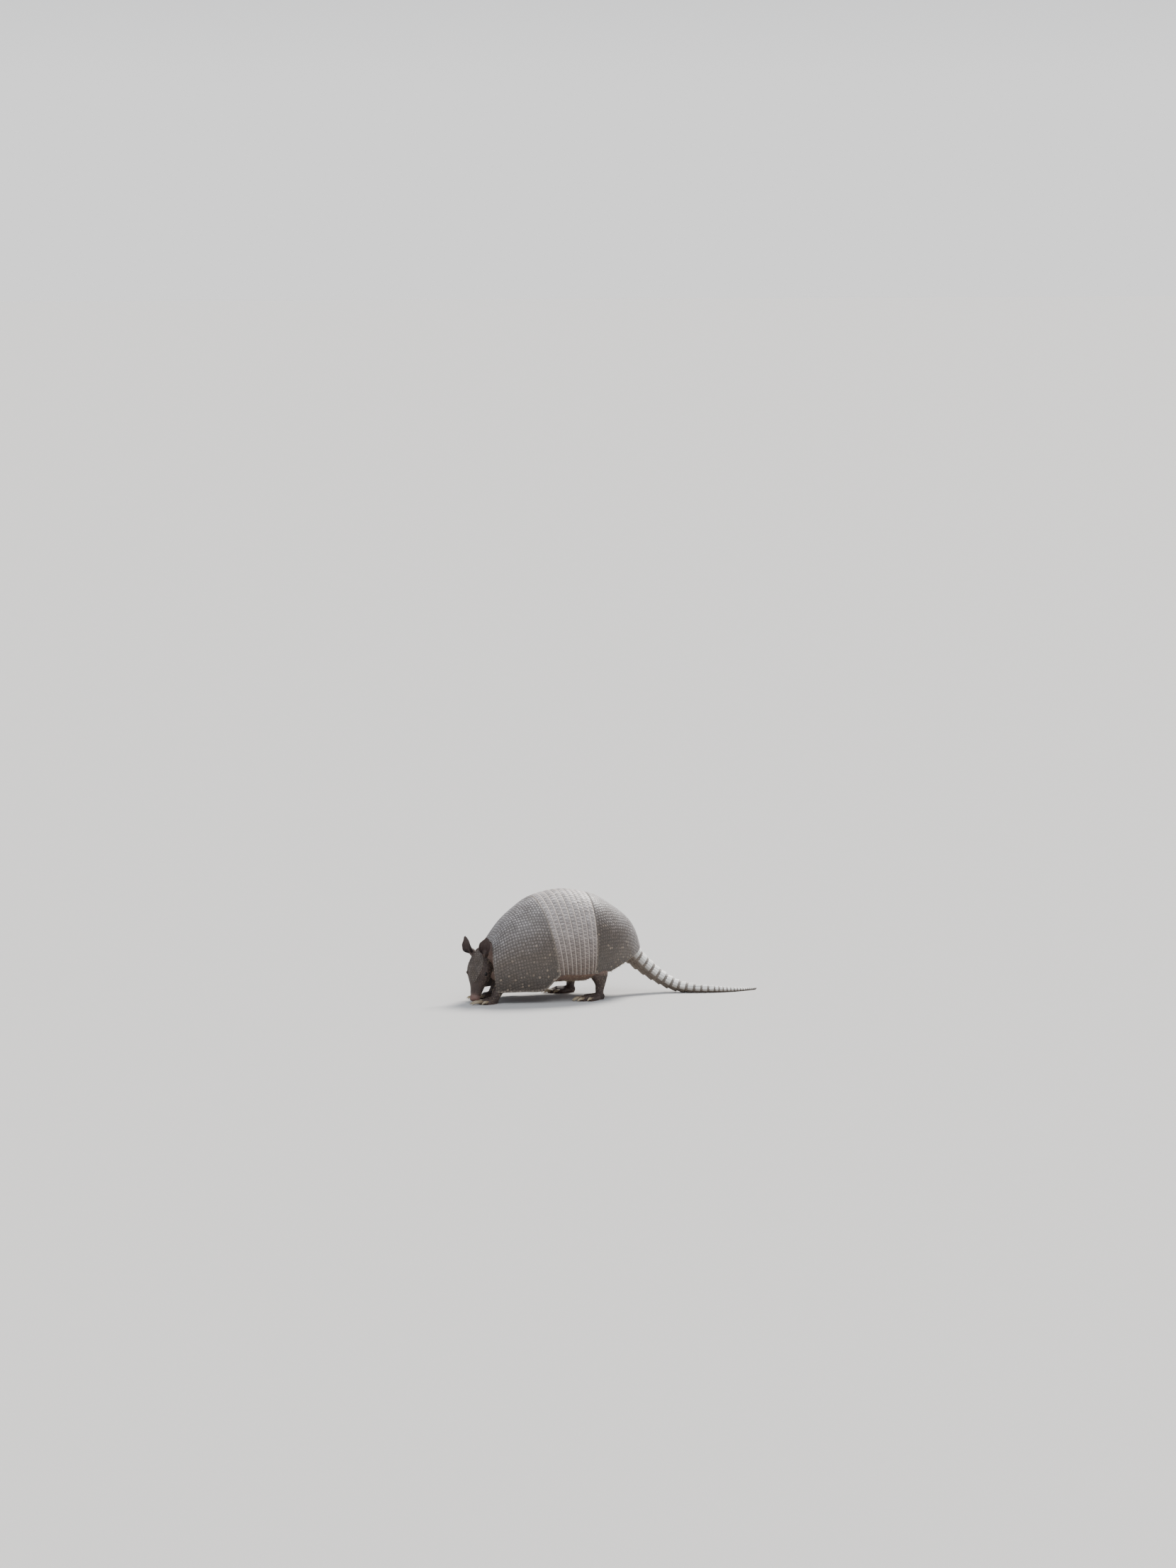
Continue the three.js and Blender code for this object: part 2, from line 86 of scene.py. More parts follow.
# Cross-sections of the carapace, evenly spaced from the nape to the tail.
CARAPACE = {
    "y": [17, 53, 91, 127, 171, 210, 222, 240, 254],
    "z": [74, 82, 89, 91, 94, 93, 89.5, 75, 57],
    "tilt": [-8, -11, -12, -11, -4, 3, 24, 45, 65],
    "rise": [49, 82, 104, 122, 128, 121, 110, 106, 92],
    "wide": [50, 67, 80, 86, 88, 88, 85, 77, 62],
    "drop": [53, 60, 65, 38, 40, 38, 36, 31, 6],
    "tuck": [5, 6, 7, 5, 5, 5, 5, 4, 1],
    "sweep": [-16, -10, -3, 0, 0, 0, 0, 0, 0],
}
BELLY = [30, 45, 54, 57, 60, 59, 46, 26, 6]


# ---------------------------------------------------------------- maths

def spline(knots, t):
    """Smooth values at t, from 0 to 1, through evenly spaced knots."""
    knots = np.asarray(knots, float)
    last = len(knots) - 1
    ends = 2 * knots[0] - knots[1], 2 * knots[-1] - knots[-2]
    k = np.concatenate([[ends[0]], knots, [ends[1]]])
    along = clip(t) * last
    i = np.minimum(along.astype(int), last - 1)
    f = along - i
    a, b, c, d = k[i], k[i + 1], k[i + 2], k[i + 3]
    return b + 0.5 * f * (c - a + f * (2 * a - 5 * b + 4 * c - d + f * (3 * (b - c) + d - a)))


def clip(x):
    return np.clip(x, 0, 1)


def smooth(low, high, x):
    """Rises smoothly from 0 at low to 1 at high."""
    t = clip((x - low) / (high - low))
    return t * t * (3 - 2 * t)


def fall(low, high, x):
    return 1 - smooth(low, high, x)


def bump(x, width):
    return np.exp(-((x / width) ** 2))


def around(count):
    """Angles evenly spaced round a circle."""
    return np.linspace(0, 2 * math.pi, count, endpoint=False)


def unit(v):
    return v / np.maximum(np.linalg.norm(v, axis=-1, keepdims=True), 1e-9)


def axes(main, second):
    """Three directions square to each other: the main one, the second as nearly as it can be, and one
    across both."""
    main, second = unit(np.array(main)), np.array(second)
    second = unit(second - second.dot(main) * main)
    return main, second, np.cross(main, second)


def above_floor(points, least=0.0):
    """The same points, with none lower than least."""
    points[..., 2] = np.maximum(points[..., 2], least)
    return points


def grid_normals(grid):
    """Unit normals of a grid of points, rows by columns."""
    return unit(np.cross(np.gradient(grid, axis=1), np.gradient(grid, axis=0)))


def lengths_along(points):
    """Distance along each column of a grid of points, or along one row of them, from the first."""
    steps = np.linalg.norm(np.diff(points, axis=0), axis=-1)
    return np.concatenate([np.zeros_like(steps[:1]), np.cumsum(steps, axis=0)])


def points_at(far, reached, line):
    """Points at distances far along a line, whose own points lie at the distances reached."""
    return np.stack([np.interp(far, reached, line[:, i]) for i in range(3)], axis=-1)


def hashed(i, j, seed):
    """A value from 0 to 1 that looks random, fixed for each pair of whole numbers."""
    h = (i.astype(np.int64) * 73856093) ^ (j.astype(np.int64) * 19349663) ^ (seed * 83492791)
    h = (h ^ (h >> 13)) * 1274126177
    return ((h ^ (h >> 16)) & 0xFFFF) / 65535.0


def waves(points, size, seed, count=7):
    """Smooth swells between about -1 and 1 whose crests are some size mm apart."""
    rng = np.random.default_rng(seed)
    total = np.zeros(len(points))
    for _ in range(count):
        way = unit(rng.normal(size=3)) / (size * rng.uniform(0.7, 1.5))
        total += np.sin(2 * math.pi * (points @ way) + rng.uniform(0, 7))
    return total / math.sqrt(count)


# ---------------------------------------------------------------- scutes

BIG, SMALL = 0.38, 0.08  # reach of a rosette's middle scute and of the small ones round it, in pitches
SCUTE_PLACES = [(0.0, 0.0), (0.5, 0.0), (0.25, 0.5), (-0.25, 0.5), (0.0, 0.62), (0.5, 0.38)]
ROW_STEP = 0.9  # from one row of scutes to the next, in pitches
NEARBY = (-1, 0, 1, 2)


def stretch(points, across, along):
    """How lengths and angles on a grid of points go with two measures taken over it: the factors of
    across squared, of their product and of along squared."""
    point_r, point_c = np.gradient(points, axis=0), np.gradient(points, axis=1)
    across_r, across_c = np.gradient(across)
    along_r, along_c = np.gradient(along)
    area = across_c * along_r - across_r * along_c
    by_across = (point_c * along_r[..., None] - point_r * along_c[..., None]) / area[..., None]
    by_along = (point_r * across_c[..., None] - point_c * across_r[..., None]) / area[..., None]
    pairs = ((by_across, by_across), (by_across, by_along), (by_along, by_along))
    return [np.sum(a * b, axis=-1) for a, b in pairs]


def scutes_near(x, y, jitter, small, seed):
    """The scutes round each point: their kinds, which are 0 for large ones, their middles, reaches and
    random values."""
    row = np.floor(y)
    for dj in NEARBY:
        j = row + dj
        shift = 0.5 * np.mod(j, 2)
        column = np.floor(x - shift)
        for di in NEARBY:
            i = column + di
            jx = jitter * (2 * hashed(i, j, seed) - 1)
            jy = jitter * (2 * hashed(i, j, seed + 1) - 1)
            for kind, (px, py) in enumerate(SCUTE_PLACES if small else SCUTE_PLACES[:1]):
                reach = BIG + 0.07 * (hashed(i, j, seed + 3) - 0.5) if kind == 0 else SMALL
                key = hashed(7 * i + kind, j, seed + 2)
                yield kind, i + shift + jx + px, j + jy + py, reach, key


def rosettes(across, along, pitch, scale=(1, 0, 1), jitter=0.1, small=True, seed=1):
    """Divides a surface into scutes: each point's distance to its scute's edge, in mm, a random value for
    its scute, and whether the scute is a large one. The scale comes from stretch()."""
    x, y = across / pitch, along / (pitch * ROW_STEP)

    def squared(dx, dy):
        return scale[0] * dx**2 + 2 * ROW_STEP * scale[1] * dx * dy + ROW_STEP**2 * scale[2] * dy**2

    best, second = np.full(x.shape, 1e9), np.full(x.shape, 1e9)
    best_key, big, best_x, best_y, second_x, second_y = (np.zeros(x.shape) for _ in range(6))
    for kind, cx, cy, reach, key in scutes_near(x, y, jitter, small, seed):
        power = squared(x - cx, y - cy) - (reach**2 if small else 0)
        nearer = power < best
        between = (~nearer) & (power < second)
        second = np.where(nearer, best, np.where(between, power, second))
        second_x = np.where(nearer, best_x, np.where(between, cx, second_x))
        second_y = np.where(nearer, best_y, np.where(between, cy, second_y))
        best = np.where(nearer, power, best)
        best_x, best_y = np.where(nearer, cx, best_x), np.where(nearer, cy, best_y)
        best_key = np.where(nearer, key, best_key)
        big = np.where(nearer, float(kind == 0), big)
    apart = np.sqrt(squared(best_x - second_x, best_y - second_y))
    edge = (second - best) / (2 * np.maximum(apart, 0.05)) * pitch
    return edge, best_key, big


def cells(points, pitch, seed):
    """Divides space into cells: each point's distance to its cell's edge, and a random value for its cell."""
    p = points / pitch
    base = np.floor(p)
    first, second = np.full(len(p), 9.0), np.full(len(p), 9.0)
    key = np.zeros(len(p))
    steps = [(i, j, k) for i in (-1, 0, 1) for j in (-1, 0, 1) for k in (-1, 0, 1)]
    for step in steps:
        cell = base + step
        mixed = cell[:, 2] * 57
        jitter = np.stack([hashed(cell[:, 0] + mixed, cell[:, 1], seed + n) for n in range(3)], axis=1)
        far = np.linalg.norm(cell + 0.15 + 0.7 * jitter - p, axis=1)
        nearer = far < first
        second = np.where(nearer, first, np.minimum(second, far))
        key = np.where(nearer, jitter[:, 0], key)
        first = np.minimum(first, far)
    return (second - first) * 0.5 * pitch, key


# ---------------------------------------------------------------- meshes

VALUES = ("groove", "tone", "pale", "flank", "edge")  # what a plate's mesh holds for its material
INNER_VALUE = 0.2  # what it holds on the plate's inner face


def read(items, key, width=1, kind=np.float32):
    """One property of all the items of a mesh, width numbers each."""
    values = np.empty(len(items) * width, kind)
    items.foreach_get(key, values)
    return values.reshape(-1, width) if width > 1 else values


def set_value(mesh, name, values):
    layer = mesh.attributes.new(name, "FLOAT", "POINT")
    layer.data.foreach_set("value", np.ascontiguousarray(values, np.float32))


def quads_of(index):
    return np.stack([index[:-1, :-1], index[:-1, 1:], index[1:, 1:], index[1:, :-1]], axis=-1).reshape(-1, 4)


def padded(values, rows, fill):
    """Values at an outer face, with a constant for the rows of the inner face."""
    return {name: np.concatenate([value, np.full((rows, value.shape[1]), fill)])
            for name, value in values.items()}


class Sheets:
    """Gathers grids of points into one mesh, with named values at each point."""

    def __init__(self, *names):
        self.names, self.points, self.faces, self.values, self.count = names, [], [], [], 0

    def add(self, points, faces, **values):
        flat = points.reshape(-1, 3)
        self.points.append(flat)
        self.faces += [f + self.count for f in faces]
        shape = points.shape[:-1]
        columns = [np.broadcast_to(values.get(n, 0.0), shape).reshape(-1) for n in self.names]
        self.values.append(np.stack(columns, axis=1) if columns else np.zeros((len(flat), 0)))
        self.count += len(flat)

    def tube(self, points, **values):
        """Adds a grid whose last column meets its first, with a polygon over each end."""
        index = np.arange(points[..., 0].size).reshape(points.shape[:2])
        closed = np.concatenate([index, index[:, :1]], axis=1)
        self.add(points, [quads_of(closed), index[:1, ::-1], index[-1:]], **values)

    def plate(self, points, back, **values):
        """Adds a closed plate: the rows of its outer face, then those of its inner face back from the last.
        back gives the outer row that each inner row lies under."""
        index = np.arange(points[..., 0].size).reshape(points.shape[:2])
        outer = len(index) - len(back)
        faces = [quads_of(np.concatenate([index, index[:1]]))]
        stops = [outer - 1, *back[1:-1], 0]
        for column, turn in ((0, 1), (-1, -1)):
            for k, (high, low) in enumerate(zip(stops, stops[1:])):
                rim = np.concatenate([index[low:high + 1, column], index[outer + k:outer + k + 2, column]])
                faces.append(rim[None, ::turn])
        self.add(points, faces, **values)

    def make(self, name, material):
        points = (np.concatenate(self.points) + ORIGIN) * MM
        mesh = bpy.data.meshes.new(name)
        mesh.vertices.add(len(points))
        mesh.vertices.foreach_set("co", points.astype(np.float32).ravel())
        loops = np.concatenate([f.ravel() for f in self.faces]).astype(np.int32)
        sizes = np.concatenate([np.full(len(f), f.shape[1]) for f in self.faces]).astype(np.int32)
        mesh.loops.add(len(loops))
        mesh.loops.foreach_set("vertex_index", loops)
        mesh.polygons.add(len(sizes))
        mesh.polygons.foreach_set("loop_start", (np.cumsum(sizes) - sizes).astype(np.int32))
        mesh.polygons.foreach_set("use_smooth", np.ones(len(sizes), bool))
        mesh.update(calc_edges=True)
        values = np.concatenate(self.values)
        for i, value in enumerate(self.names):
            set_value(mesh, value, values[:, i])
        mesh.materials.append(material)
        piece = bpy.data.objects.new(name, mesh)
        bpy.context.scene.collection.objects.link(piece)
        return piece


def dress(piece, slot, *nodes):
    """The piece rides on the body and stands for the solids named; the slot is not used."""
    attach(piece, "root")
    if nodes:
        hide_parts(*nodes)
    return piece


# ---------------------------------------------------------------- the carapace's surface

def section(s):
    return {key: spline(knots, s) for key, knots in CARAPACE.items()}


def carapace(s, u, out=0.0):
    """Points of the carapace at places s along it and u across it, from -1 at the right rim to 1 at the
    left one, moved outwards by out. Also returns the length across it from the ridge to each point."""
    s, u, out = np.broadcast_arrays(np.asarray(s, float), u, out)
    at = section(s[:, 0])
    quarter = np.linspace(0, math.pi / 2, 49)
    side = np.linspace(0, 1, 13)[1:]
    wide, high = at["wide"][:, None] + out[:, :1], at["rise"][:, None] + out[:, :1]
    x = np.concatenate([wide * np.sin(quarter), wide - at["tuck"][:, None] * side**2], axis=1)
    z = np.concatenate([high * np.cos(quarter), -at["drop"][:, None] * side], axis=1)
    steps = np.hypot(np.diff(x, axis=1), np.diff(z, axis=1))
    length = np.concatenate([np.zeros((len(s), 1)), np.cumsum(steps, axis=1)], axis=1)
    px, pz, across = np.empty(s.shape), np.empty(s.shape), np.empty(s.shape)
    for r in range(len(s)):
        place = np.abs(u[r]) * length[r, -1]
        px[r] = np.interp(place, length[r], x[r]) * np.sign(u[r])
        pz[r] = np.interp(place, length[r], z[r])
        across[r] = place * np.sign(u[r])
    lean = np.radians(at["tilt"])[:, None]
    swept = at["sweep"][:, None] * smooth(0, 0.5, np.abs(u) * 8 / 9)
    points = np.stack([px, at["y"][:, None] + pz * np.sin(lean) + swept,
                       at["z"][:, None] + pz * np.cos(lean)], axis=-1)
    return points, across


ORIGIN = np.array([0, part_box("pelvic_shield")[1].y / MM - carapace([[1.0]], [[0.0]])[0][0, 0, 1], 0])


def spread_rows(points, rows):
    """The same sheet with its rows spread evenly down each column, without what folds back on itself."""
    even = np.empty((rows, *points.shape[1:]))
    for c in range(points.shape[1]):
        line = points[:, c]
        far = (line - line[0]) @ (line[-1] - line[0])
        line = line[far >= np.maximum.accumulate(far)]
        reached = lengths_along(line)
        even[:, c] = points_at(np.linspace(0, reached[-1], rows), reached, line)
    return even


def rounded_rim(rim, thick):
    """How far the faces of a plate stand back near its rim."""
    inwards = 1 - clip(rim / (0.6 * thick))
    return 0.4 * thick * (1 - np.sqrt(clip(1 - inwards**2)))


def curved_plate(s_rows, outer, inner, step, relief, even=False, sway=None):
    """A plate of the carapace over rows of places along it, with the heights of its outer face from front
    to rear and those of its inner face back again. relief(points, across, along, flank) gives the outer
    face's scutes and its material's values, and sway(across) moves the plate along the body."""
    _, across = carapace(np.array([[0.5 * (s_rows[0] + s_rows[-1])]]), np.array([[1.0]]))
    columns = int(2 * across[0, 0] / step)
    u = np.linspace(-1, 1, columns + 1)[None, :]
    places = s_rows[:, None] + 0 * u
    if sway:
        places = places + sway(u * across[0, 0])
    base, across = carapace(places, u)
    rim = across[:, -1:] - np.abs(across)
    if even:
        base = spread_rows(base, len(s_rows))
        across = across[:1] + 0 * across
    normal = grid_normals(base)
    height, values = relief(base, across, lengths_along(base), np.abs(u) + 0 * across)
    rounding = rounded_rim(rim, PLATE)
    top = outer[:, None] + height * smooth(0, PLATE, rim) - rounding - RELIEF
    back = np.linspace(len(s_rows) - 1, 0, len(inner)).astype(int)
    under = np.asarray(inner)[:, None] + rounding[back] - RELIEF
    points = np.concatenate([base + normal * top[..., None], base[back] + normal[back] * under[..., None]])
    sheets = Sheets(*VALUES)
    sheets.plate(points, back, **padded(values, len(back), INNER_VALUE))
    return sheets


# ---------------------------------------------------------------- materials

def srgb(r, g, b):
    """A colour given from 0 to 255 as it looks on a screen."""
    linear = [c / 255 / 12.92 if c <= 10 else ((c / 255 + 0.055) / 1.055) ** 2.4 for c in (r, g, b)]
    return (*linear, 1.0)


class Surface:
    """A material made of nodes on one principled shader."""

    def __init__(self, name, specular):
        self.material = bpy.data.materials.new(name)
        self.material.use_nodes = True
        self.tree = self.material.node_tree
        self.shader = self.tree.nodes["Principled BSDF"]
        self.shader.inputs["Specular IOR Level"].default_value = specular
        self.place = self.add("ShaderNodeTexCoord").outputs["Object"]

    def add(self, kind, inputs=None, **settings):
        node = self.tree.nodes.new(kind)
        for key, value in settings.items():
            setattr(node, key, value)
        for key, value in (inputs or {}).items():
            if isinstance(value, bpy.types.NodeSocket):
                self.tree.links.new(value, node.inputs[key])
            else:
                node.inputs[key].default_value = value
        return node

    def values(self, *names):
        """Values that the mesh holds at each point."""
        return [self.add("ShaderNodeAttribute", attribute_name=name).outputs["Fac"] for name in names]

    def noise(self, size, detail=3.0):
        """Noise whose patches are about size mm across."""
        inputs = {"Vector": self.place, "Scale": 1 / (size * MM), "Detail": detail, "Roughness": 0.55}
        return self.add("ShaderNodeTexNoise", inputs).outputs["Fac"]

    def times(self, a, b):
        return self.add("ShaderNodeMath", {0: a, 1: b}, operation="MULTIPLY").outputs[0]

    def plus(self, a, b):
        return self.add("ShaderNodeMath", {0: a, 1: b}, operation="ADD").outputs[0]

    def range(self, value, low, high, to_low=0.0, to_high=1.0):
        inputs = {"Value": value, "From Min": low, "From Max": high, "To Min": to_low, "To Max": to_high}
        return self.add("ShaderNodeMapRange", inputs).outputs["Result"]

    def patchy(self, size, detail, low, high):
        """Values from low to high in patches about size mm across."""
        return self.range(self.noise(size, detail), 0.3, 0.7, low, high)

    def mix(self, amount, a, b, blend="MIX"):
        inputs = {0: amount, 6: a, 7: b}
        return self.add("ShaderNodeMix", inputs, data_type="RGBA", blend_type=blend).outputs[2]

    def tint(self, colour, amount, strength, *shade):
        """The colour with a shade over it, as strong as the amount times the strength."""
        return self.mix(self.times(amount, strength), colour, srgb(*shade))

    def shaded(self, colour, tone, spread_down, spread_up):
        """The colour darker or lighter by each scute's or cell's tone."""
        shade = self.range(tone, 0, 1, 1 - spread_down, 1 + spread_up)
        grey = self.add("ShaderNodeCombineColor", {0: shade, 1: shade, 2: shade}).outputs[0]
        return self.mix(1.0, colour, grey, "MULTIPLY")

    def finish(self, colour, roughness, height, depth):
        """Joins up the colour and roughness, and a bump whose height of 1 stands for depth mm."""
        self.tree.links.new(colour, self.shader.inputs["Base Color"])
        self.tree.links.new(roughness, self.shader.inputs["Roughness"])
        bumps = self.add("ShaderNodeBump", {"Height": height, "Distance": depth * MM, "Strength": 1.0})
        self.tree.links.new(bumps.outputs["Normal"], self.shader.inputs["Normal"])
        return self.material


def horn_detail(s, colour, groove, tone, spread=0.24, dirt_and_shade=0.35):
    """Differences from scute to scute, dirt in the grooves and in patches, and fine pits and scratches. On
    the bands the darkened grooves also hold painted shade under each band's lip.
    """
    colour = s.shaded(colour, tone, spread, spread)
    colour = s.tint(colour, s.range(s.noise(26, 4), 0.42, 0.62), dirt_and_shade, 84, 70, 56)
    colour = s.tint(colour, s.range(groove, 0.75, 0.1), 0.4 + 0.9 * dirt_and_shade, 44, 36, 30)
    colour = s.tint(colour, s.range(s.noise(1.4, 2), 0.56, 0.7), 0.22, 168, 158, 144)
    grain = s.plus(s.times(s.noise(1.1, 4), 0.6), s.times(s.noise(0.35, 2), 0.25))
    return colour, grain


def shield_material():
    """Grey-brown rosettes, paler along the back and darker down the flanks, partly their own colour and
    partly painted light on top and painted shade below, with an odd pale one low on the flanks.
    """
    s = Surface("armour_shield", 0.65)
    groove, tone, large, flank, edge = s.values(*VALUES)
    # paler on top and darker down the flanks: partly the shell's own colour, partly painted light from above
    # and painted shade below
    colour = s.mix(s.range(flank, 0.06, 0.62), srgb(180, 175, 174), srgb(95, 85, 78))
    colour = s.mix(s.range(flank, 0.6, 1.0), colour, srgb(54, 45, 38))
    colour = s.mix(s.range(large, 1, 0, 0, 0.24), colour, srgb(82, 71, 63))
    odd = s.times(s.range(tone, 0.9, 0.97), s.range(flank, 0.35, 0.75))
    colour = s.tint(colour, odd, 0.36, 168, 149, 127)
    colour = s.tint(colour, edge, 0.65, 168, 154, 140)
    colour, grain = horn_detail(s, colour, groove, tone)
    return s.finish(colour, s.patchy(9, 3, 0.34, 0.54), grain, 0.22)


def band_material():
    """Pale bands with worn rear lips, browner down the flanks, partly their own colour and partly painted
    light on top and painted shade below.
    """
    s = Surface("armour_band", 0.65)
    groove, tone, pale, flank, edge = s.values(*VALUES)
    # paler on top and browner down the flanks: partly the bands' own colour, partly painted light from above
    # and painted shade below
    colour = s.mix(s.range(flank, 0.16, 0.95), srgb(216, 208, 205), srgb(100, 84, 74))
    colour = s.tint(colour, pale, 0.32, 104, 90, 84)
    colour, grain = horn_detail(s, colour, groove, tone, 0.2, 0.28)
    worn = s.times(edge, s.range(flank, 0.3, 0.95, 0.85, 0.42))
    colour = s.mix(worn, colour, srgb(212, 198, 186))
    return s.finish(colour, s.patchy(9, 3, 0.34, 0.54), grain, 0.2)


def tail_material():
    """Whitish rings, their white partly their own pale colour and partly painted highlight, browner in their
    front rows, partly their own colour and partly painted shade under the ring in front, and browner on the
    sides and below, as painted shade.
    """
    s = Surface("armour_tail", 0.5)
    groove, tone, pale, flank, edge = s.values(*VALUES)
    # near-white rings: partly their own pale colour, partly painted highlight
    colour = s.mix(pale, srgb(84, 72, 62), srgb(255, 253, 247))
    colour = s.tint(colour, edge, 0.7, 255, 253, 247)
    # darker on the sides and below: painted shade
    colour = s.mix(s.range(flank, 0.28, 0.68), colour, srgb(98, 87, 76))
    colour, grain = horn_detail(s, colour, groove, tone, 0.14, 0.12)
    return s.finish(colour, s.patchy(7, 3, 0.42, 0.62), grain, 0.18)


def head_shield_material():
    s = Surface("armour_head", 0.45)
    groove, tone, edge = s.values("groove", "tone", "edge")
    # dark grey-brown, darker than the body's shields: partly its own colour, partly painted shade
    colour = s.mix(s.range(s.noise(18, 3), 0.4, 0.6), srgb(92, 83, 78), srgb(72, 63, 58))
    colour = s.tint(colour, edge, 0.4, 126, 114, 102)
    colour, grain = horn_detail(s, colour, groove, tone)
    return s.finish(colour, s.patchy(6, 3, 0.42, 0.62), grain, 0.16)


SKIN_VALUES = ("groove", "tone", "scaly", "pink", "belly", "dark", "lid", "ear", "inside", "spot")


def skin_material():
    """Leathery skin: dark on the legs, head and ears, partly its own colour and partly painted shade, pinker
    on the belly, nose and lips.
    """
    s = Surface("skin", 0.4)
    groove, tone, scaly, pink, belly, dark, lid, ear, inside, spot = s.values(*SKIN_VALUES)
    colour = s.mix(s.range(s.noise(14, 4), 0.35, 0.65), srgb(128, 106, 96), srgb(104, 84, 75))
    colour = s.tint(colour, belly, 0.6, 132, 106, 93)
    # darker head, ears and legs: partly the skin's own colour, partly painted shade
    colour = s.tint(colour, dark, 0.85, 48, 39, 36)
    colour = s.tint(colour, ear, 0.8, 36, 29, 29)
    colour = s.tint(colour, inside, 0.5, 74, 55, 52)
    colour = s.mix(scaly, colour, s.shaded(colour, tone, 0.24, 0.3))
    colour = s.tint(colour, spot, 0.5, 168, 148, 126)
    colour = s.tint(colour, pink, 0.7, 134, 98, 89)
    colour = s.tint(colour, s.range(groove, 0.9, 0.1), 0.62, 36, 28, 25)
    colour = s.tint(colour, s.range(s.noise(5, 3), 0.52, 0.7), 0.28, 76, 60, 53)
    colour = s.tint(colour, lid, 0.85, 30, 24, 23)
    pores = s.add("ShaderNodeTexVoronoi", {"Vector": s.place, "Scale": 1 / (0.8 * MM)}).outputs["Distance"]
    grain = s.plus(s.times(s.noise(1.0, 4), 0.6), s.times(pores, 0.4))
    return s.finish(colour, s.patchy(6, 3, 0.46, 0.68), grain, 0.16)


def claw_material():
    """Horn, darker where it grows out, with streaks, and with soil towards the tip."""
    s = Surface("horn", 0.5)
    [along] = s.values("along")
    colour = s.mix(s.range(along, 0.05, 0.8), srgb(116, 98, 78), srgb(196, 180, 150))
    colour = s.tint(colour, s.range(s.noise(1.6, 4), 0.45, 0.7), 0.4, 96, 78, 58)
    soil = s.times(s.range(s.noise(4, 3), 0.46, 0.62), s.range(along, 0.4, 1.0))
    colour = s.tint(colour, soil, 0.55, 78, 60, 45)
    return s.finish(colour, s.patchy(3, 3, 0.3, 0.5), s.noise(0.8, 3), 0.08)


def hair_material():
    s = Surface("pale_hair", 0.4)
    tone, along = s.values("tone", "along")
    colour = s.mix(tone, srgb(176, 158, 126), srgb(214, 202, 176))
    colour = s.mix(s.range(along, 0.0, 0.5, 0.6, 0.0), colour, srgb(104, 84, 64))
    colour = s.mix(s.range(s.noise(8, 3), 0.4, 0.6, 0.0, 0.4), colour, srgb(140, 120, 92))
    return s.finish(colour, s.range(s.noise(2), 0, 1, 0.4, 0.6), s.noise(0.3), 0.01)


def eye_material():
    """A wet dark eye with a brown ring of fibres."""
    s = Surface("eye", 0.4)
    fibres = s.range(s.noise(0.5, 3), 0.35, 0.65)
    ring = s.mix(fibres, srgb(40, 24, 15), srgb(24, 15, 11))
    [iris] = s.values("iris")
    colour = s.mix(iris, srgb(7, 6, 6), ring)
    return s.finish(colour, s.range(s.noise(2), 0, 1, 0.05, 0.09), s.noise(3, 1), 0.004)


MATERIALS = {"shield": shield_material(), "band": band_material(), "tail": tail_material(),
             "skin": skin_material(), "head_shield": head_shield_material(), "claw": claw_material(),
             "eye": eye_material(), "hair": hair_material()}


# ---------------------------------------------------------------- shields and bands

PLATE_STEP = {"shoulder": 0.76, "hips": 0.8, "band": 0.68}  # between the points of a plate's mesh, in mm
HIP_FLANK_SHADE = 1.22  # painted shade: the hips' flanks are darkened more than the shoulders'
FRONT_EDGE = [-1.3, -0.7, -0.3, -0.08, 0]  # how the shields' free edges fall away over their outer rows
REAR_EDGE = [-0.15, -0.5, -1.0, -1.7]


def shield_relief(bands_first, seed, flank_shade=1.0):
    """Rosettes in rows that follow the edge which meets the bands. Both edges of a shield are paler. The last
    argument darkens the flanks further, as painted shade.
    """
    def relief(points, across, along, flank):
        from_rear = along[-1:] - along
        if bands_first:
            from_edge, row, far = along, along, from_rear
        else:
            from_edge, far = from_rear, np.minimum(along, from_rear)
            row = from_edge.mean(axis=1, keepdims=True) + 0 * from_edge
        edge, key, big = rosettes(across, row, ROSETTE, stretch(points, across, row), seed=seed)
        dome = smooth(0, 1.1, edge)
        height = 0.5 * dome + 0.16 * big * smooth(0.5, 2.6, edge) - 0.25
        rim = np.abs(across[:, -1:]) - np.abs(across)
        border = np.maximum(fall(1.5, 5.5, from_edge), fall(2, 7, np.minimum(rim, far + 4)))
        # the flank value scaled up here darkens the flanks further: painted shade
        return height, dict(groove=dome, tone=key, pale=big, flank=clip(flank_shade * flank), edge=border)
    return relief


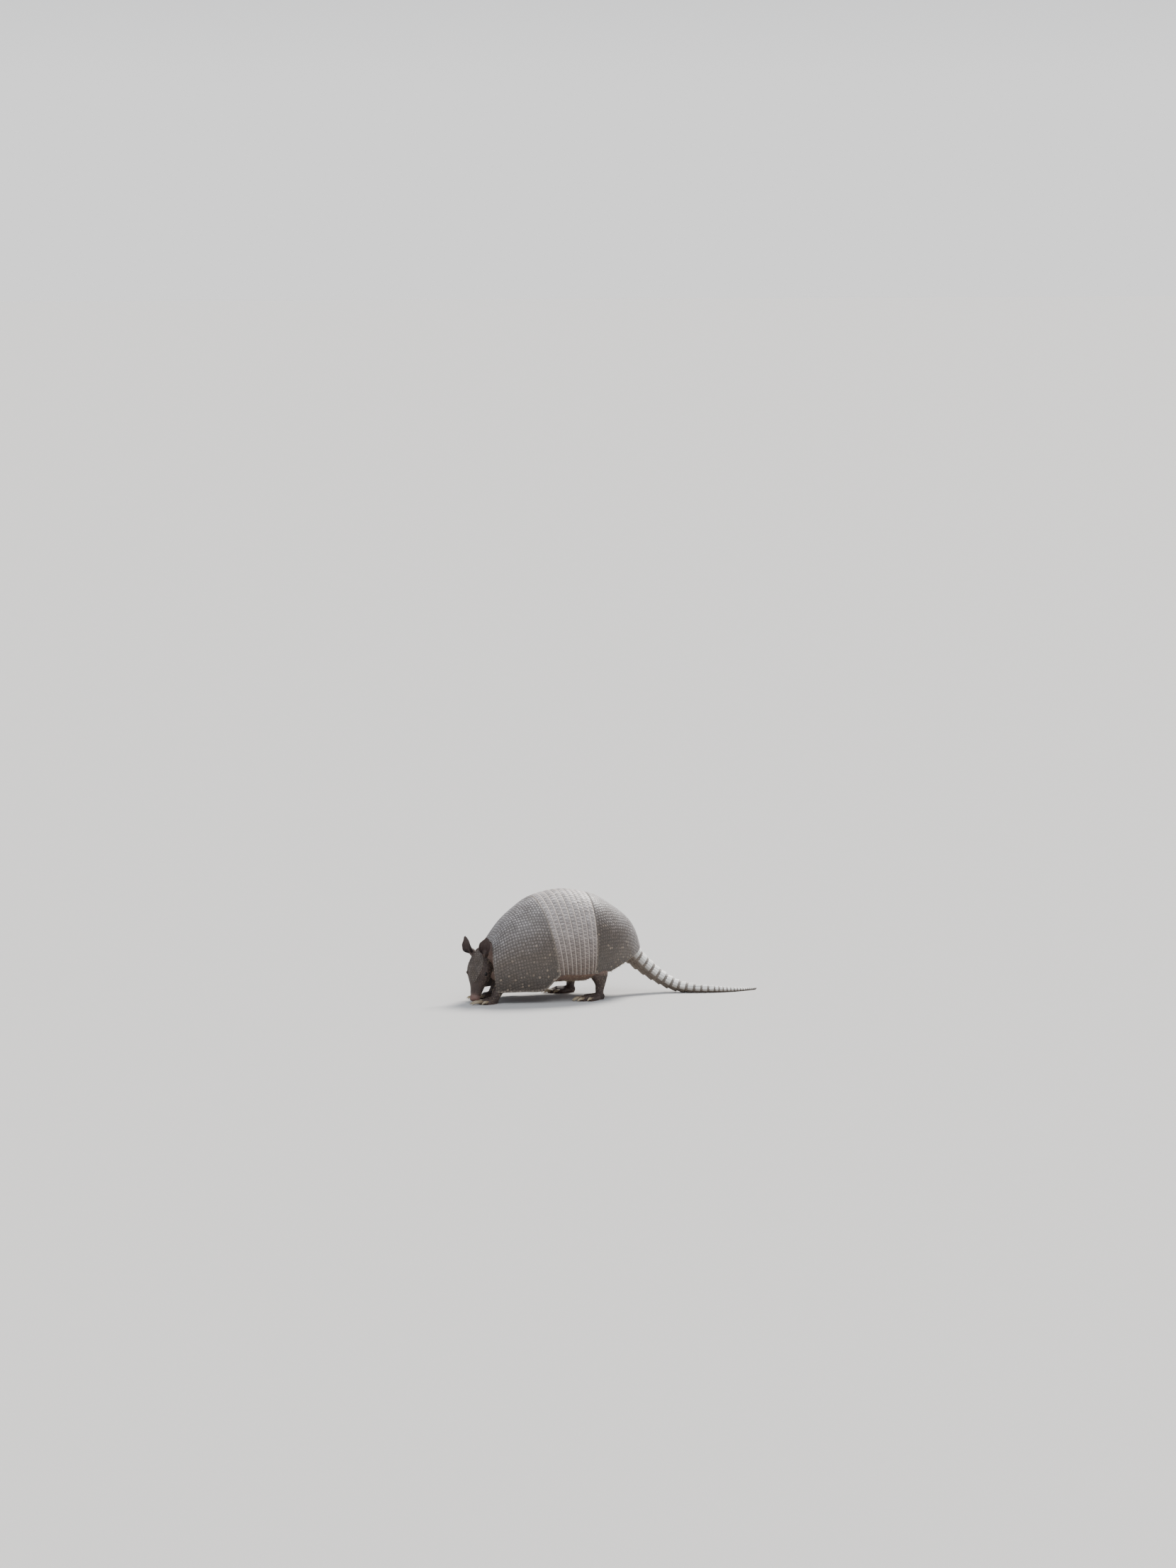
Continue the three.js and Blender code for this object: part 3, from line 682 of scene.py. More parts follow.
def band_relief(k):
    """Wedges that point forwards and back in turn, with a raised rear lip notched where they meet."""
    def relief(points, across, along, flank):
        t = along / along[-1:]
        x = across / WEDGE + 0.37 * k
        x = x + 0.06 * np.sin(1.7 * x + k)
        zig = 2 * np.abs(x - np.floor(x) - 0.5)  # 0 in the middle of a wedge, 1 between two
        front = smooth(0.22, 0.3, t)
        width = 0.14 + 0.74 * clip((t - 0.25) / 0.75)
        side = (width - zig) * 0.5 * WEDGE * 0.9
        wedge = (side > 0).astype(float)
        groove = smooth(0, 1.15, np.abs(side))
        notch = fall(0.1, 1.1, (1 - zig) * 0.5 * WEDGE) * smooth(0.8, 1.0, t)
        height = front * (0.42 * (groove - 1) + 0.16 * wedge) - 0.35 * notch + 0.35 * smooth(0.74, 0.97, t)
        key = hashed(np.floor(x + 0.5 * (1 - wedge)), wedge + 2 * k, 11)
        # darkest at the band's front, just behind the previous band's lip: painted shade; elsewhere the
        # grooves between the wedges
        grooves_and_lip_shade = np.minimum(1 - front * (1 - groove), smooth(0.16, 0.36, t))
        return height, dict(groove=grooves_and_lip_shade, tone=key, pale=wedge, flank=flank, edge=smooth(0.76, 0.95, t))
    return relief


def band_sway(k):
    """Bands bend a little on their way round the body, nearly in step, and each a little by itself."""
    def sway(across):
        shared = np.sin(across / 6.3) + 0.7 * np.sin(across / 3.9 + 1.2)
        own = np.sin(across / 4.6 + 2.1 * k) + np.sin(across / 8.7 + 3.7 * k)
        return (0.6 * shared + 0.28 * own) * MM_ALONG
    return sway


def lipped(rows, start, rear):
    """Heights of a plate's outer face: from the start depth up to the surface, with a rounded rear lip over
    the last rows."""
    rise = -start * fall(0, rear, np.linspace(0, 1, rows))
    q = clip((np.arange(rows) - (rows - 5)) / 4)
    return rise - 0.55 * PLATE * (1 - np.sqrt(1 - q**2 * 0.98))


def lip_rows(start, end, lip, count, close):
    """Places along the carapace from start to end, closer together in the lip at the end."""
    return np.concatenate([np.linspace(start, end - lip, count), end - lip * np.array([*close, 0.1, 0])])


def build_shoulder():
    rows = lip_rows(0, SHOULDER_END - GAP * MM_ALONG, 0.004, 166, (0.55, 0.28))
    outer = lipped(len(rows), 0, 1)
    outer[:len(FRONT_EDGE)] += FRONT_EDGE
    inner = [-PLATE] * 2 + [-ARMOUR] * 5 + [-ARMOUR * 0.7]
    sheets = curved_plate(rows, outer, inner, PLATE_STEP["shoulder"], shield_relief(False, 3))
    return sheets.make("scapular_armour", MATERIALS["shield"])


def build_hips():
    rows = np.linspace(HIP_START - 2 * MM_ALONG, 1, 191)
    outer = np.zeros(len(rows))
    outer[:9] = -LAP * fall(0, 1, np.arange(9) / 8)
    outer[-len(REAR_EDGE):] = REAR_EDGE
    inner = [-ARMOUR * 0.8] + [-ARMOUR] * 7
    sheets = curved_plate(rows, outer, inner, PLATE_STEP["hips"], shield_relief(True, 5, HIP_FLANK_SHADE), even=True)
    return sheets.make("pelvic_armour", MATERIALS["shield"])


def build_band(k):
    front = SHOULDER_END + k * BAND_STEP
    rows = lip_rows(front - 1.8 * MM_ALONG, front + BAND_STEP - GAP * MM_ALONG, 0.003, 21, (0.6, 0.3))
    outer = lipped(len(rows), LAP + 0.2, 0.62)
    inner = [-PLATE, -ARMOUR]
    sheets = curved_plate(rows, outer, inner, PLATE_STEP["band"], band_relief(k), sway=band_sway(k))
    return sheets.make(f"band_armour_{k + 1}", MATERIALS["band"])


# ---------------------------------------------------------------- tail

TAIL_KNOTS = [(0, 308, 94), (0, 330, 72), (2, 354, 51), (8, 379, 32), (20, 406, 16), (38, 437, 8.6),
              (54, 481, 6), (58, 530, 3.4), (47, 578, 2.4)]
TAIL = {"start": 6, "root": 22, "tip": 2.2, "first": 21, "last": 13, "lip": 1.3, "rings": 12}


def through(knots, per_span=24):
    """Points on the centripetal curve through knots, evenly spaced between each two."""
    k = np.asarray(knots, float)
    k = np.concatenate([[2 * k[0] - k[1]], k, [2 * k[-1] - k[-2]]])
    points = []
    for a, b, c, d in zip(k, k[1:], k[2:], k[3:]):
        ta, tb, tc = (np.linalg.norm(q - p) ** 0.5 for p, q in ((a, b), (b, c), (c, d)))
        m1 = tb * ((b - a) / ta - (c - a) / (ta + tb) + (c - b) / tb)
        m2 = tb * ((c - b) / tb - (d - b) / (tb + tc) + (d - c) / tc)
        t = np.linspace(0, 1, per_span, endpoint=False)[:, None]
        points.append(b + m1 * t + (3 * (c - b) - 2 * m1 - m2) * t**2 + (2 * (b - c) + m1 + m2) * t**3)
    return np.concatenate(points + [k[-2:-1]])


TAIL_LINE = through(TAIL_KNOTS)
TAIL_FAR = lengths_along(TAIL_LINE)
TAIL_LENGTH = TAIL_FAR[-1]


def tail_tube(far, radius, angle):
    """Points round the tail's line, kept above the floor: far and radius by rows, angle by columns."""
    far = np.asarray(far, float)
    reach = 0.01 * TAIL_LENGTH
    before, after = np.maximum(far - reach, 0), np.minimum(far + reach, TAIL_LENGTH)
    ahead = unit(points_at(after, TAIL_FAR, TAIL_LINE) - points_at(before, TAIL_FAR, TAIL_LINE))
    across = unit(np.cross([0.0, 0.0, 1.0], ahead))
    up = np.cross(ahead, across)
    ring = across[:, None] * np.cos(angle)[..., None] + up[:, None] * np.sin(angle)[..., None]
    return above_floor(points_at(far, TAIL_FAR, TAIL_LINE)[:, None, :] + ring * radius[..., None])


def tail_radius(far):
    return TAIL["root"] + (TAIL["tip"] - TAIL["root"]) * clip(far / TAIL_LENGTH) ** 0.8


def ring_scutes(t, angle, length, radius, seed):
    """A row of small scutes in front of a row of long ones: each point's distance to its scute's edge, a
    random value for its scute, whether that is in the rear row, and how pale it is."""
    count = max(2 * round(math.pi * radius / RING_SCUTE), 8)
    turn = angle[None, :] / (2 * math.pi) * count + 0 * t
    front = 0.3 + 0.08 * np.abs(2 * (turn % 1) - 1)
    rear = t > front
    cell = np.where(rear, turn, turn + 0.5)
    seam = np.abs(t - front) * length
    pitch = 2 * math.pi * radius / count
    edge = np.minimum((0.5 - np.abs(cell % 1 - 0.5)) * pitch, seam)
    key = hashed(np.floor(cell) % count, rear + 0 * cell, seed)
    # the front row is kept dark: partly the ring's own colour, partly painted shade under the ring in front
    return edge, key, rear, 0.12 + 0.88 * rear * smooth(0, 0.5, seam)


def add_ring(sheets, far0, far1, lip, step, seed):
    """One ring of the tail, a sleeve whose rear edge flares."""
    length = far1 - far0
    rows = max(int(length / step), 6)
    mean = tail_radius(0.5 * (far0 + far1))
    columns = max(int(2 * math.pi * mean / step), 16)
    angle = 2 * math.pi * np.arange(columns) / columns
    far = np.linspace(far0, far1, rows)
    t = ((far - far0) / length)[:, None] + 0 * angle[None, :]
    edge, key, rear, pale = ring_scutes(t, angle, length, mean, seed)
    groove = smooth(0.1, 0.9, edge)
    flare = -lip + 1.6 * lip * smooth(0, 1, t) + 0.25 * lip * smooth(0.7, 1, t)
    radius = tail_radius(far)[:, None] + flare + 0.35 * (groove - 1) + 0.12 * rear * smooth(0.6, 2.2, edge)
    radius -= 0.5 * lip * fall(0, 0.9, (1 - t) * length)
    inner = np.stack([radius[-1] - 1.2 * lip, radius[-1] - 1.6 * lip])
    points = np.concatenate([tail_tube(far, radius, angle),
                             tail_tube([far1 - 0.2, far0 + 0.3 * length], inner, angle)])
    values = dict(groove=groove, tone=key, pale=pale, edge=smooth(0.72, 0.95, t))
    sheets.tube(points, flank=0.5 - 0.5 * np.sin(angle)[None, :], **padded(values, 2, 0.0))


def build_tail():
    """The rings; then the tip, of small rings on a core that also fills the gaps between the others."""
    far = TAIL["start"]
    for k in range(TAIL["rings"]):
        length = TAIL["first"] + (TAIL["last"] - TAIL["first"]) * k / (TAIL["rings"] - 1)
        sheets = Sheets(*VALUES)
        add_ring(sheets, far - 0.8, far + length - 0.4, TAIL["lip"], 0.62, k)
        dress(sheets.make(f"tail_sleeve_{k + 1}", MATERIALS["tail"]), "tail", f"tail_ring_{k + 1}")
        far += length
    tip = Sheets(*VALUES)
    end, k = TAIL_LENGTH - 3, 0
    while far < end:
        length = min(max(9 - 0.35 * k, 4), end - far + 0.5)
        add_ring(tip, far - 0.5, far + length, 0.5 - 0.02 * k, 0.6, 40 + k)
        far += length
        k += 1
    core_far = np.linspace(2, TAIL_LENGTH - 0.4, 160)
    angle = around(20)
    radius = tail_radius(core_far) - np.interp(core_far, [0, 240, end, end + 3], [3, 1.6, 0.2, 1.4])
    tip.tube(tail_tube(core_far, radius[:, None] + 0 * angle, angle), groove=0.1, flank=0.5)
    dress(tip.make("tail_end", MATERIALS["tail"]), "tail", "tail_tip")


# ---------------------------------------------------------------- head

HEAD = {"at": [1, -4, 102], "pitch": 72, "turn": 35, "length": 99}
SKULL = {
    "wide": [15, 20.5, 24.5, 26.5, 24.5, 19, 14.2, 11.4, 10],
    "top": [12, 16.5, 19, 19.5, 18, 15, 12.2, 10.3, 9],
    "under": [12, 17, 20, 21.5, 20, 16, 12.3, 9.6, 7.5],
    "lift": [0, 0, 0, -0.5, -1.5, -2.5, -3, -3, -2.5],
}
EYE = {"at": np.array([20.9, -46, 6.5]), "radius": 3.8, "gaze": (0.93, -0.05, 0.36)}
EAR = {"at": np.array([15, -4, 12]), "rise": (0.34, 0.73, 0.59), "face": (0.15, -0.72, 0.68),
       "length": 36, "width": 26, "thick": 2.0, "rows": 60}
EAR_FOLDS = ((-0.42, 1.0), (-0.1, 0.7), (0.3, 1.1))  # places across the ear, and heights in mm
BROW = 1.4  # thickness of the head shield

HEAD_TURN = np.array(Euler((0, 0, math.radians(HEAD["turn"]))).to_matrix()
                     @ Euler((math.radians(HEAD["pitch"]), 0, 0)).to_matrix())


def from_head(points):
    """Points of the head's own frame, along -Y from the nape with the crown up, in the animal's frame."""
    return points @ HEAD_TURN.T + HEAD["at"]


def to_head(points):
    return (points - HEAD["at"]) @ HEAD_TURN


def skull(t, angle, out=0.0):
    """Points of the head at places t along it, from nape to nose, and angles round it from the crown."""
    at = {key: spline(knots, t) for key, knots in SKULL.items()}
    deep = np.where(np.cos(angle) > 0, at["top"], at["under"]) + out
    return np.stack([(at["wide"] + out) * np.sin(angle), -t * HEAD["length"] + 0 * angle,
                     at["lift"] + deep * np.cos(angle)], axis=-1)


def head_source():
    """The head as a closed tube with a domed nape and a blunt nose."""
    rings = skull(np.linspace(0, 1, 100)[:, None], around(96)[None, :])
    dome = np.linspace(0.15, 0.999, 8)

    def dome_of(ring, scale, push):
        centre = ring.mean(axis=0)
        return centre + (ring - centre) * scale[:, None, None] + np.array([0, 1, 0]) * push[:, None, None]

    nape = dome_of(rings[0], np.sqrt(1 - dome**2), 8 * dome)[::-1]
    nose = dome_of(rings[-1], 1 - dome**3, -3.2 * dome)
    return from_head(np.concatenate([nape, rings, nose]))


def ear_axes():
    """Directions in the head's frame: along the left ear, towards its open face, and across it."""
    return axes(EAR["rise"], EAR["face"])


def ear_source(side):
    """A scoop, open to the front, whose rim thins and waves a little, with folds inside it."""
    rise, face, across = ear_axes()
    t = np.linspace(-0.12, 1, EAR["rows"])[:, None]
    q = np.linspace(-1, 1, 65)[None, :]
    level = clip(t)
    half = EAR["width"] / 2 * spline([0.34, 0.76, 0.98, 0.94, 0.48], level)
    wrap = np.radians(spline([150, 112, 80, 62, 50], level))
    base_radius = half / np.sin(np.minimum(wrap, math.pi / 2))
    edge = np.maximum(np.abs(q), level)
    folds = sum(size * bump(q - place, 0.09) for place, size in EAR_FOLDS)
    folds = folds * smooth(0.08, 0.3, level) * fall(0.5, 0.85, level)
    up = EAR["length"] * t - 6 * q**2 * level**2 - 0.5 * np.sin(7 * q + 1) * level**3

    def surface(radius):
        return (EAR["at"] + up[..., None] * rise + (radius * np.sin(q * wrap))[..., None] * across
                + (-radius * np.cos(q * wrap) + half)[..., None] * face)

    inside = base_radius - EAR["thick"] * (1 - 0.3 * smooth(0.8, 1, edge)) - folds
    return from_head(np.concatenate([surface(base_radius), surface(inside)[::-1]]) * [side, 1, 1])


def ear_root(side):
    """The mound from which an ear grows."""
    rise, face, _ = ear_axes()
    widths = ((-6, 7), (0, 6.4), (5, 4.6))
    stations = [(*(EAR["at"] + far * rise + 0.5 * face), wide, wide) for far, wide in widths]
    return from_head(tube_source(stations, face, 28, 8) * [side, 1, 1])


NECK = [(0, 34, 88, 38, 32), (0, 18, 90, 36, 30), (-1, 4, 88, 28, 25), (0, -6, 82, 21, 20)]


def tube_source(stations, over, sides=40, per_span=14):
    """A tube square to stations of x, y, z, half width and half depth, with round ends."""
    stations = np.asarray(stations, float)
    t = np.linspace(0, 1, per_span * (len(stations) - 1) + 1)
    centre = through(stations[:, :3], per_span)
    half = np.stack([spline(stations[:, 3], t), spline(stations[:, 4], t)], axis=1)
    ahead = unit(np.gradient(centre, axis=0))
    across = unit(np.cross(np.asarray(over, float), ahead))
    up = np.cross(ahead, across)
    dome = np.sin(np.linspace(0.2, 1.55, 7))[:, None]
    shrink = np.sqrt(1 - dome**2)

    def rounded(end, sign):
        reach = 0.55 * half[end].min()
        rings = (centre[end] + sign * reach * dome * ahead[end], shrink * half[end],
                 np.repeat(across[end][None], 7, axis=0), np.repeat(up[end][None], 7, axis=0))
        return [part[::sign] for part in rings]

    parts = zip(rounded(0, -1), (centre, half, across, up), rounded(-1, 1))
    centre, half, across, up = (np.concatenate(part) for part in parts)
    angle = around(sides)
    return (centre[:, None] + across[:, None] * (half[:, :1] * np.cos(angle))[..., None]
            + up[:, None] * (half[:, 1:] * np.sin(angle))[..., None])


# ---------------------------------------------------------------- legs

# For each pair of legs: the heel's x and y and the toes' turn outwards, by side; stations of the sole and
# the shank; and its toes, whose long and claw give the lengths of inner and outer ones.
LEGS = {
    "hind": {
        "heel": {1: (60, 234, 8), -1: (-60, 221, 10)},
        "sole": [(0, -3, 6.8, 7.8, 7.4), (0, -20, 6.5, 9.6, 7.6), (0, -38, 6, 14, 7.5)],
        "shank": [(0, -8.6, 10, 8, 8.2), (0, -9, 19, 8.4, 8.8), (-1, -7, 31, 9.6, 11.2),
                  (-3, -8, 48, 14, 19), (-8, -14, 76, 17, 27)],
        "toes": {"places": (-2, -1, 0, 1, 2), "inner": 2, "spread": 6.3, "start": 40, "curve": 3.2,
                 "long": (15, 11), "claw": (15, 10), "fan": 7, "thick": 4.6},
    },
    "front": {
        "heel": {1: (37, 15, 4), -1: (-38, 40, 6)},
        "sole": [(0, -4, 6.5, 8.5, 7.5), (0, -14, 6.5, 11, 7.5), (0, -24, 6, 12, 7)],
        "shank": [(0, -8, 9, 9, 9), (-1, 0, 23, 9.5, 10.5), (-3, 13, 38, 11.5, 14), (-8, 32, 58, 14, 17)],
        "toes": {"places": (-1.5, -0.5, 0.5, 1.5), "inner": 1, "spread": 6.2, "start": 26, "curve": 2.6,
                 "long": (13, 9), "claw": (22, 13), "fan": 6, "thick": 4.4},
    },
}


def toes_of(leg):
    toes = leg["toes"]
    for i in toes["places"]:
        outer = abs(i) >= toes["inner"]
        yield {"side": toes["spread"] * i, "start": toes["start"] - toes["curve"] * i * i,
               "long": toes["long"][outer], "claw": toes["claw"][outer],
               "fan": math.radians(toes["fan"] * i), "thick": toes["thick"]}


def on_toe(toe, far, height):
    return (toe["side"] + far * math.sin(toe["fan"]), -toe["start"] - far * math.cos(toe["fan"]), height)


def toe_source(toe):
    """A toe with a knuckle, and a fold of skin where its claw grows out. Its rear end lies in the foot,
    closer to the foot's middle."""
    long, thick = toe["long"], toe["thick"]
    stations = [(-15, 5.0, -1.2, 0.2, 0.52), (-7, 4.6, -0.3, 0.9, 0.78), (0.3 * long, 4.6, -0.2, 0.6, 1),
                (0.62 * long, 4.0, -0.7, -0.4, 1), (long, 3.4, -0.8, -0.4, 1)]
    along = [(*(on_toe(toe, far, height) * np.array([apart, 1, 1])), thick + wide, thick + deep)
             for far, height, wide, deep, apart in stations]
    return tube_source(along, (0, 0, 1), 28, 8)


def foot_place(points, leg, side):
    """Points of a left foot's frame, heel at its origin and toes along -Y, in the animal's frame."""
    x, y, turn = leg["heel"][side]
    turned = np.array(Euler((0, 0, math.radians(turn * side))).to_matrix())
    return (points * [side, 1, 1]) @ turned.T + [x, y, 0]


# ---------------------------------------------------------------- trunk

CHEST = {"start": 0.072, "reach": 13}  # where the chest meets the shield, and how far it bulges forwards
RUMP = {"end": 0.99, "reach": 10}
TRUNK_RIM = 7 / 8  # how far round the carapace the flesh reaches


def trunk_source():
    """The flesh that fills the carapace and sags between its rims, with domed ends."""
    s = np.linspace(CHEST["start"], RUMP["end"], 110)
    u = np.linspace(-TRUNK_RIM, TRUNK_RIM, 90)
    arch, _ = carapace(s[:, None], u[None, :], -FLESH)
    at = section(s)
    lean = np.radians(at["tilt"])
    centre = np.stack([0 * s, at["y"], at["z"]], axis=1)
    down = np.stack([0 * s, -np.sin(lean), -np.cos(lean)], axis=1)
    ahead = np.stack([0 * s, np.cos(lean), -np.sin(lean)], axis=1)
    left = arch[:, -1]
    sag = spline(BELLY, s) - np.sum((left - centre) * down, axis=1)
    a = np.linspace(0, math.pi, 50)[1:-1]
    across = left[:, None] * np.stack([np.cos(a), 1 + 0 * a, 1 + 0 * a], axis=1)
    under = across + down[:, None] * (sag[:, None] * np.sin(a) ** 0.8)[..., None]
    rings = np.concatenate([arch, under], axis=1)
    inwards = np.linspace(0.97, 0.04, 16)[:, None, None]
    chest = centre[0] + (rings[0] - centre[0]) * inwards - CHEST["reach"] * (1 - inwards**1.8) * ahead[0]
    dome = np.sin(np.linspace(0.15, 1.56, 10))[:, None, None]
    rump = centre[-1] + (rings[-1] - centre[-1]) * np.sqrt(1 - dome**2) + RUMP["reach"] * dome * ahead[-1]
    return np.concatenate([chest[::-1], rings, rump])


# ---------------------------------------------------------------- skin

VOXEL = 0.85
HIDDEN = {"reach": 12, "kept": 0.5}  # how near the armour hides the skin, and the share of faces kept there
KINDS = {"trunk": 0, "head": 1, "ear": 2, "neck": 3, "leg": 4, "toe": 5}


def skin_points(mesh):
    return read(mesh.vertices, "co", 3).astype(float) / MM - ORIGIN


def set_skin_points(mesh, points):
    mesh.vertices.foreach_set("co", ((points + ORIGIN) * MM).astype(np.float32).ravel())
    mesh.update()


def skin_normals(mesh):
    return read(mesh.vertices, "normal", 3).astype(float)


def read_value(mesh, name):
    return read(mesh.attributes[name].data, "value").astype(float)


def relax(mesh, points, rounds, weight=1.0):
    """Draws each point towards the middle of its neighbours."""
    a, b = read(mesh.edges, "vertices", 2, np.int32).T
    count = np.bincount(a, minlength=len(points)) + np.bincount(b, minlength=len(points))
    weight = np.broadcast_to(weight, len(points))[:, None]
    for _ in range(rounds):
        total = np.stack([np.bincount(a, points[b, i], len(points))
                          + np.bincount(b, points[a, i], len(points)) for i in range(3)], axis=1)
        points = points + 0.5 * weight * (total / count[:, None] - points)
    return points


def blurred(mesh, values):
    return relax(mesh, np.repeat(values[:, None], 3, axis=1), 5)[:, 0]


def apply_modifier(piece, kind, **settings):
    modifier = piece.modifiers.new(kind, kind)
    for key, value in settings.items():
        setattr(modifier, key, value)
    shaped = bpy.data.meshes.new_from_object(piece.evaluated_get(bpy.context.evaluated_depsgraph_get()))
    piece.modifiers.clear()
    piece.data = shaped


def armour_tree():
    """The shields and bands, for casting rays at."""
    armour = bmesh.new()
    for node in ["scapular_shield", "pelvic_shield"] + [f"band_{k + 1}" for k in range(BANDS)]:
        armour.from_mesh(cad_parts[node].data)
    tree = BVHTree.FromBMesh(armour)
    armour.free()
    return tree


def under_armour(tree, vertex, reach):
    """Whether a ray straight out from a point of the skin meets the armour within reach mm."""
    start = vertex.co + vertex.normal * 0.2 * MM
    return tree.ray_cast(start, vertex.normal, reach * MM)[0] is not None


def thin_out(piece):
    """Merges the skin's faces under the armour, where nothing shows them."""
    tree = armour_tree()
    hidden = np.array([under_armour(tree, vertex, HIDDEN["reach"]) for vertex in piece.data.vertices])
    group = piece.vertex_groups.new(name="hidden")
    group.add(np.flatnonzero(hidden).tolist(), 1.0, "REPLACE")
    apply_modifier(piece, "DECIMATE", decimate_type="COLLAPSE", ratio=HIDDEN["kept"],
                   vertex_group="hidden", vertex_group_factor=1000)


def edit(piece, change):
    """Changes the piece's mesh by a function of its bmesh."""
    mesh = bmesh.new()
    mesh.from_mesh(piece.data)
    change(mesh)
    mesh.to_mesh(piece.data)
    mesh.free()


def refine(piece, inside):
    """Halves the edges whose points are both inside, and divides their faces to match."""
    def halve(mesh):
        edges = [e for e in mesh.edges if inside[e.verts[0].index] and inside[e.verts[1].index]]
        bmesh.ops.subdivide_edges(mesh, edges=edges, cuts=1, use_grid_fill=True)

    edit(piece, halve)


def skin_sources():
    """Every solid of flesh as a fine closed grid, each point with its kind."""
    sources = Sheets("kind")
    sources.tube(trunk_source(), kind=KINDS["trunk"])
    sources.tube(head_source(), kind=KINDS["head"])
    sources.tube(tube_source(NECK, (0, 0, 1), 64), kind=KINDS["neck"])
    for side in (1, -1):
        sources.plate(ear_source(side), range(EAR["rows"] - 1, -1, -1), kind=KINDS["ear"])
        sources.tube(ear_root(side), kind=KINDS["head"])
        for leg in LEGS.values():
            for stations, over in ((leg["sole"], (0, 0, 1)), (leg["shank"], (0, -1, 0))):
                sources.tube(foot_place(tube_source(stations, over), leg, side), kind=KINDS["leg"])
            for toe in toes_of(leg):
                sources.tube(foot_place(toe_source(toe), leg, side), kind=KINDS["toe"])
    return sources


def join_sources(sources):
    """One closed skin over all the sources, and its points' kinds."""
    piece = sources.make("skin", MATERIALS["skin"])
    edit(piece, lambda mesh: bmesh.ops.recalc_face_normals(mesh, faces=mesh.faces))
    apply_modifier(piece, "REMESH", mode="VOXEL", voxel_size=VOXEL * MM, use_smooth_shade=True)
    points = skin_points(piece.data)
    smoothed = relax(piece.data, points, 6, 0.8)
    tree = KDTree(sources.count)
    for i, point in enumerate(np.concatenate(sources.points)):
        tree.insert(point, i)
    tree.balance()
    kinds = np.concatenate(sources.values)[:, 0]
    kind = kinds[[tree.find(point)[1] for point in points]]
    thin = kind == KINDS["ear"]
    smoothed[thin] = points[thin] * 0.6 + smoothed[thin] * 0.4
    set_skin_points(piece.data, above_floor(smoothed))
    set_value(piece.data, "kind", kind)
    return piece


# ---------------------------------------------------------------- details of the head

def eye_axes(side):
    """Directions in the head's frame: out of an eye, forwards and up."""
    out, ahead, up = axes([EYE["gaze"][0] * side, *EYE["gaze"][1:]], [0, -1.0, 0])
    return out, ahead, up * side


LID = {"corner": 3.1, "upper": 1.9, "lower": 1.6, "thick": 0.6}
LID_CREASES = ((1.0, 0.28), (2.0, 0.26), (3.2, 0.2))  # distances from the lids, and depths


def past_lids(along, above):
    """Distance outside the almond that the lids leave open, in mm; it is negative inside."""
    half = np.where(above > 0, LID["upper"], LID["lower"])
    half = half * (1 - clip(np.abs(along) / LID["corner"]) ** 1.9)
    beyond = np.abs(along) - LID["corner"]
    return np.where(beyond > 0, np.hypot(beyond, above), np.abs(above) - half)


def eye_places(local, side):
    """Vectors from an eye's centre, and how far past its lids they point; 99 for those behind it."""
    from_eye = local - EYE["at"] * [side, 1, 1]
    out, ahead, up = eye_axes(side)
    past = past_lids(from_eye @ ahead, from_eye @ up)
    return from_eye, np.where(from_eye @ out > 0, past, 99.0)


def past_nearer_lids(local):
    """Distance past the lids of the nearer eye, in mm."""
    return np.minimum(eye_places(local, 1)[1], eye_places(local, -1)[1])


def round_eye(local, side):
    """Lids round one eye: inside their opening the skin dips behind the eyeball, and creases follow them."""
    from_eye, past = eye_places(local, side)
    near = (np.linalg.norm(from_eye, axis=1) < 11) & (past < 9)
    v, d = from_eye[near], past[near]
    r = np.linalg.norm(v, axis=1)
    lid = EYE["radius"] + LID["thick"] - 0.12 * np.clip(d - 0.7, 0, 9) - 0.25 * bump(d, 0.25)
    raised = 0.5 * (r + lid + np.sqrt((r - lid) ** 2 + 0.6))
    raised = lid + (raised - lid) * smooth(0.3, 2.5, d)
    creases = sum(size * bump(d - place, 0.24) for place, size in LID_CREASES)
    ripples = 0.07 * np.sin(4.5 * d + 2.0 * waves(v, 3.0, 15)) * smooth(1.5, 3, d) * fall(4, 6, d)
    sunk = EYE["radius"] - 0.9
    shaped = sunk + (raised - creases + ripples - sunk) * smooth(-0.2, 0.12, d)
    local = local.copy()
    local[near] += v * ((shaped - r) * fall(3.5, 7, d) / r)[:, None]
    return local


def shape_muzzle(local, side_angle, t, radius):
    """How far the skin of the muzzle moves outwards, in mm: the nose pad, the lips and the folds."""
    out = 0.55 * smooth(0.93, 0.97, t) * (side_angle < 2.2) - 0.45 * bump(t - 0.915, 0.012)
    mouth = 2.25 - 0.1 * smooth(0.6, 0.95, t)
    on_lip = smooth(0.58, 0.64, t) * fall(0.985, 1.0, t)
    out -= 1.3 * on_lip * bump((side_angle - mouth) * radius, 0.55)
    out += 0.35 * on_lip * bump((side_angle - mouth + 0.12) * radius, 1.1)
    jaw = smooth(mouth, mouth + 0.08, side_angle)
    out -= jaw * (1.0 * smooth(0.7, 0.9, t) + 2.6 * smooth(0.95, 0.985, t))
    folds = np.sin(2 * math.pi * (t * HEAD["length"] / 3.1 + 0.35 * waves(local, 16, 4)))
    out += 0.13 * folds * smooth(0.68, 0.76, t) * fall(0.89, 0.93, t) * fall(1.9, 2.2, side_angle)
    out += 0.7 * bump(t - 0.62, 0.09) * bump(side_angle - 1.7, 0.4)
    out += 1.0 * bump(t - 0.33, 0.12) * bump(side_angle - 1.75, 0.5)
    return out


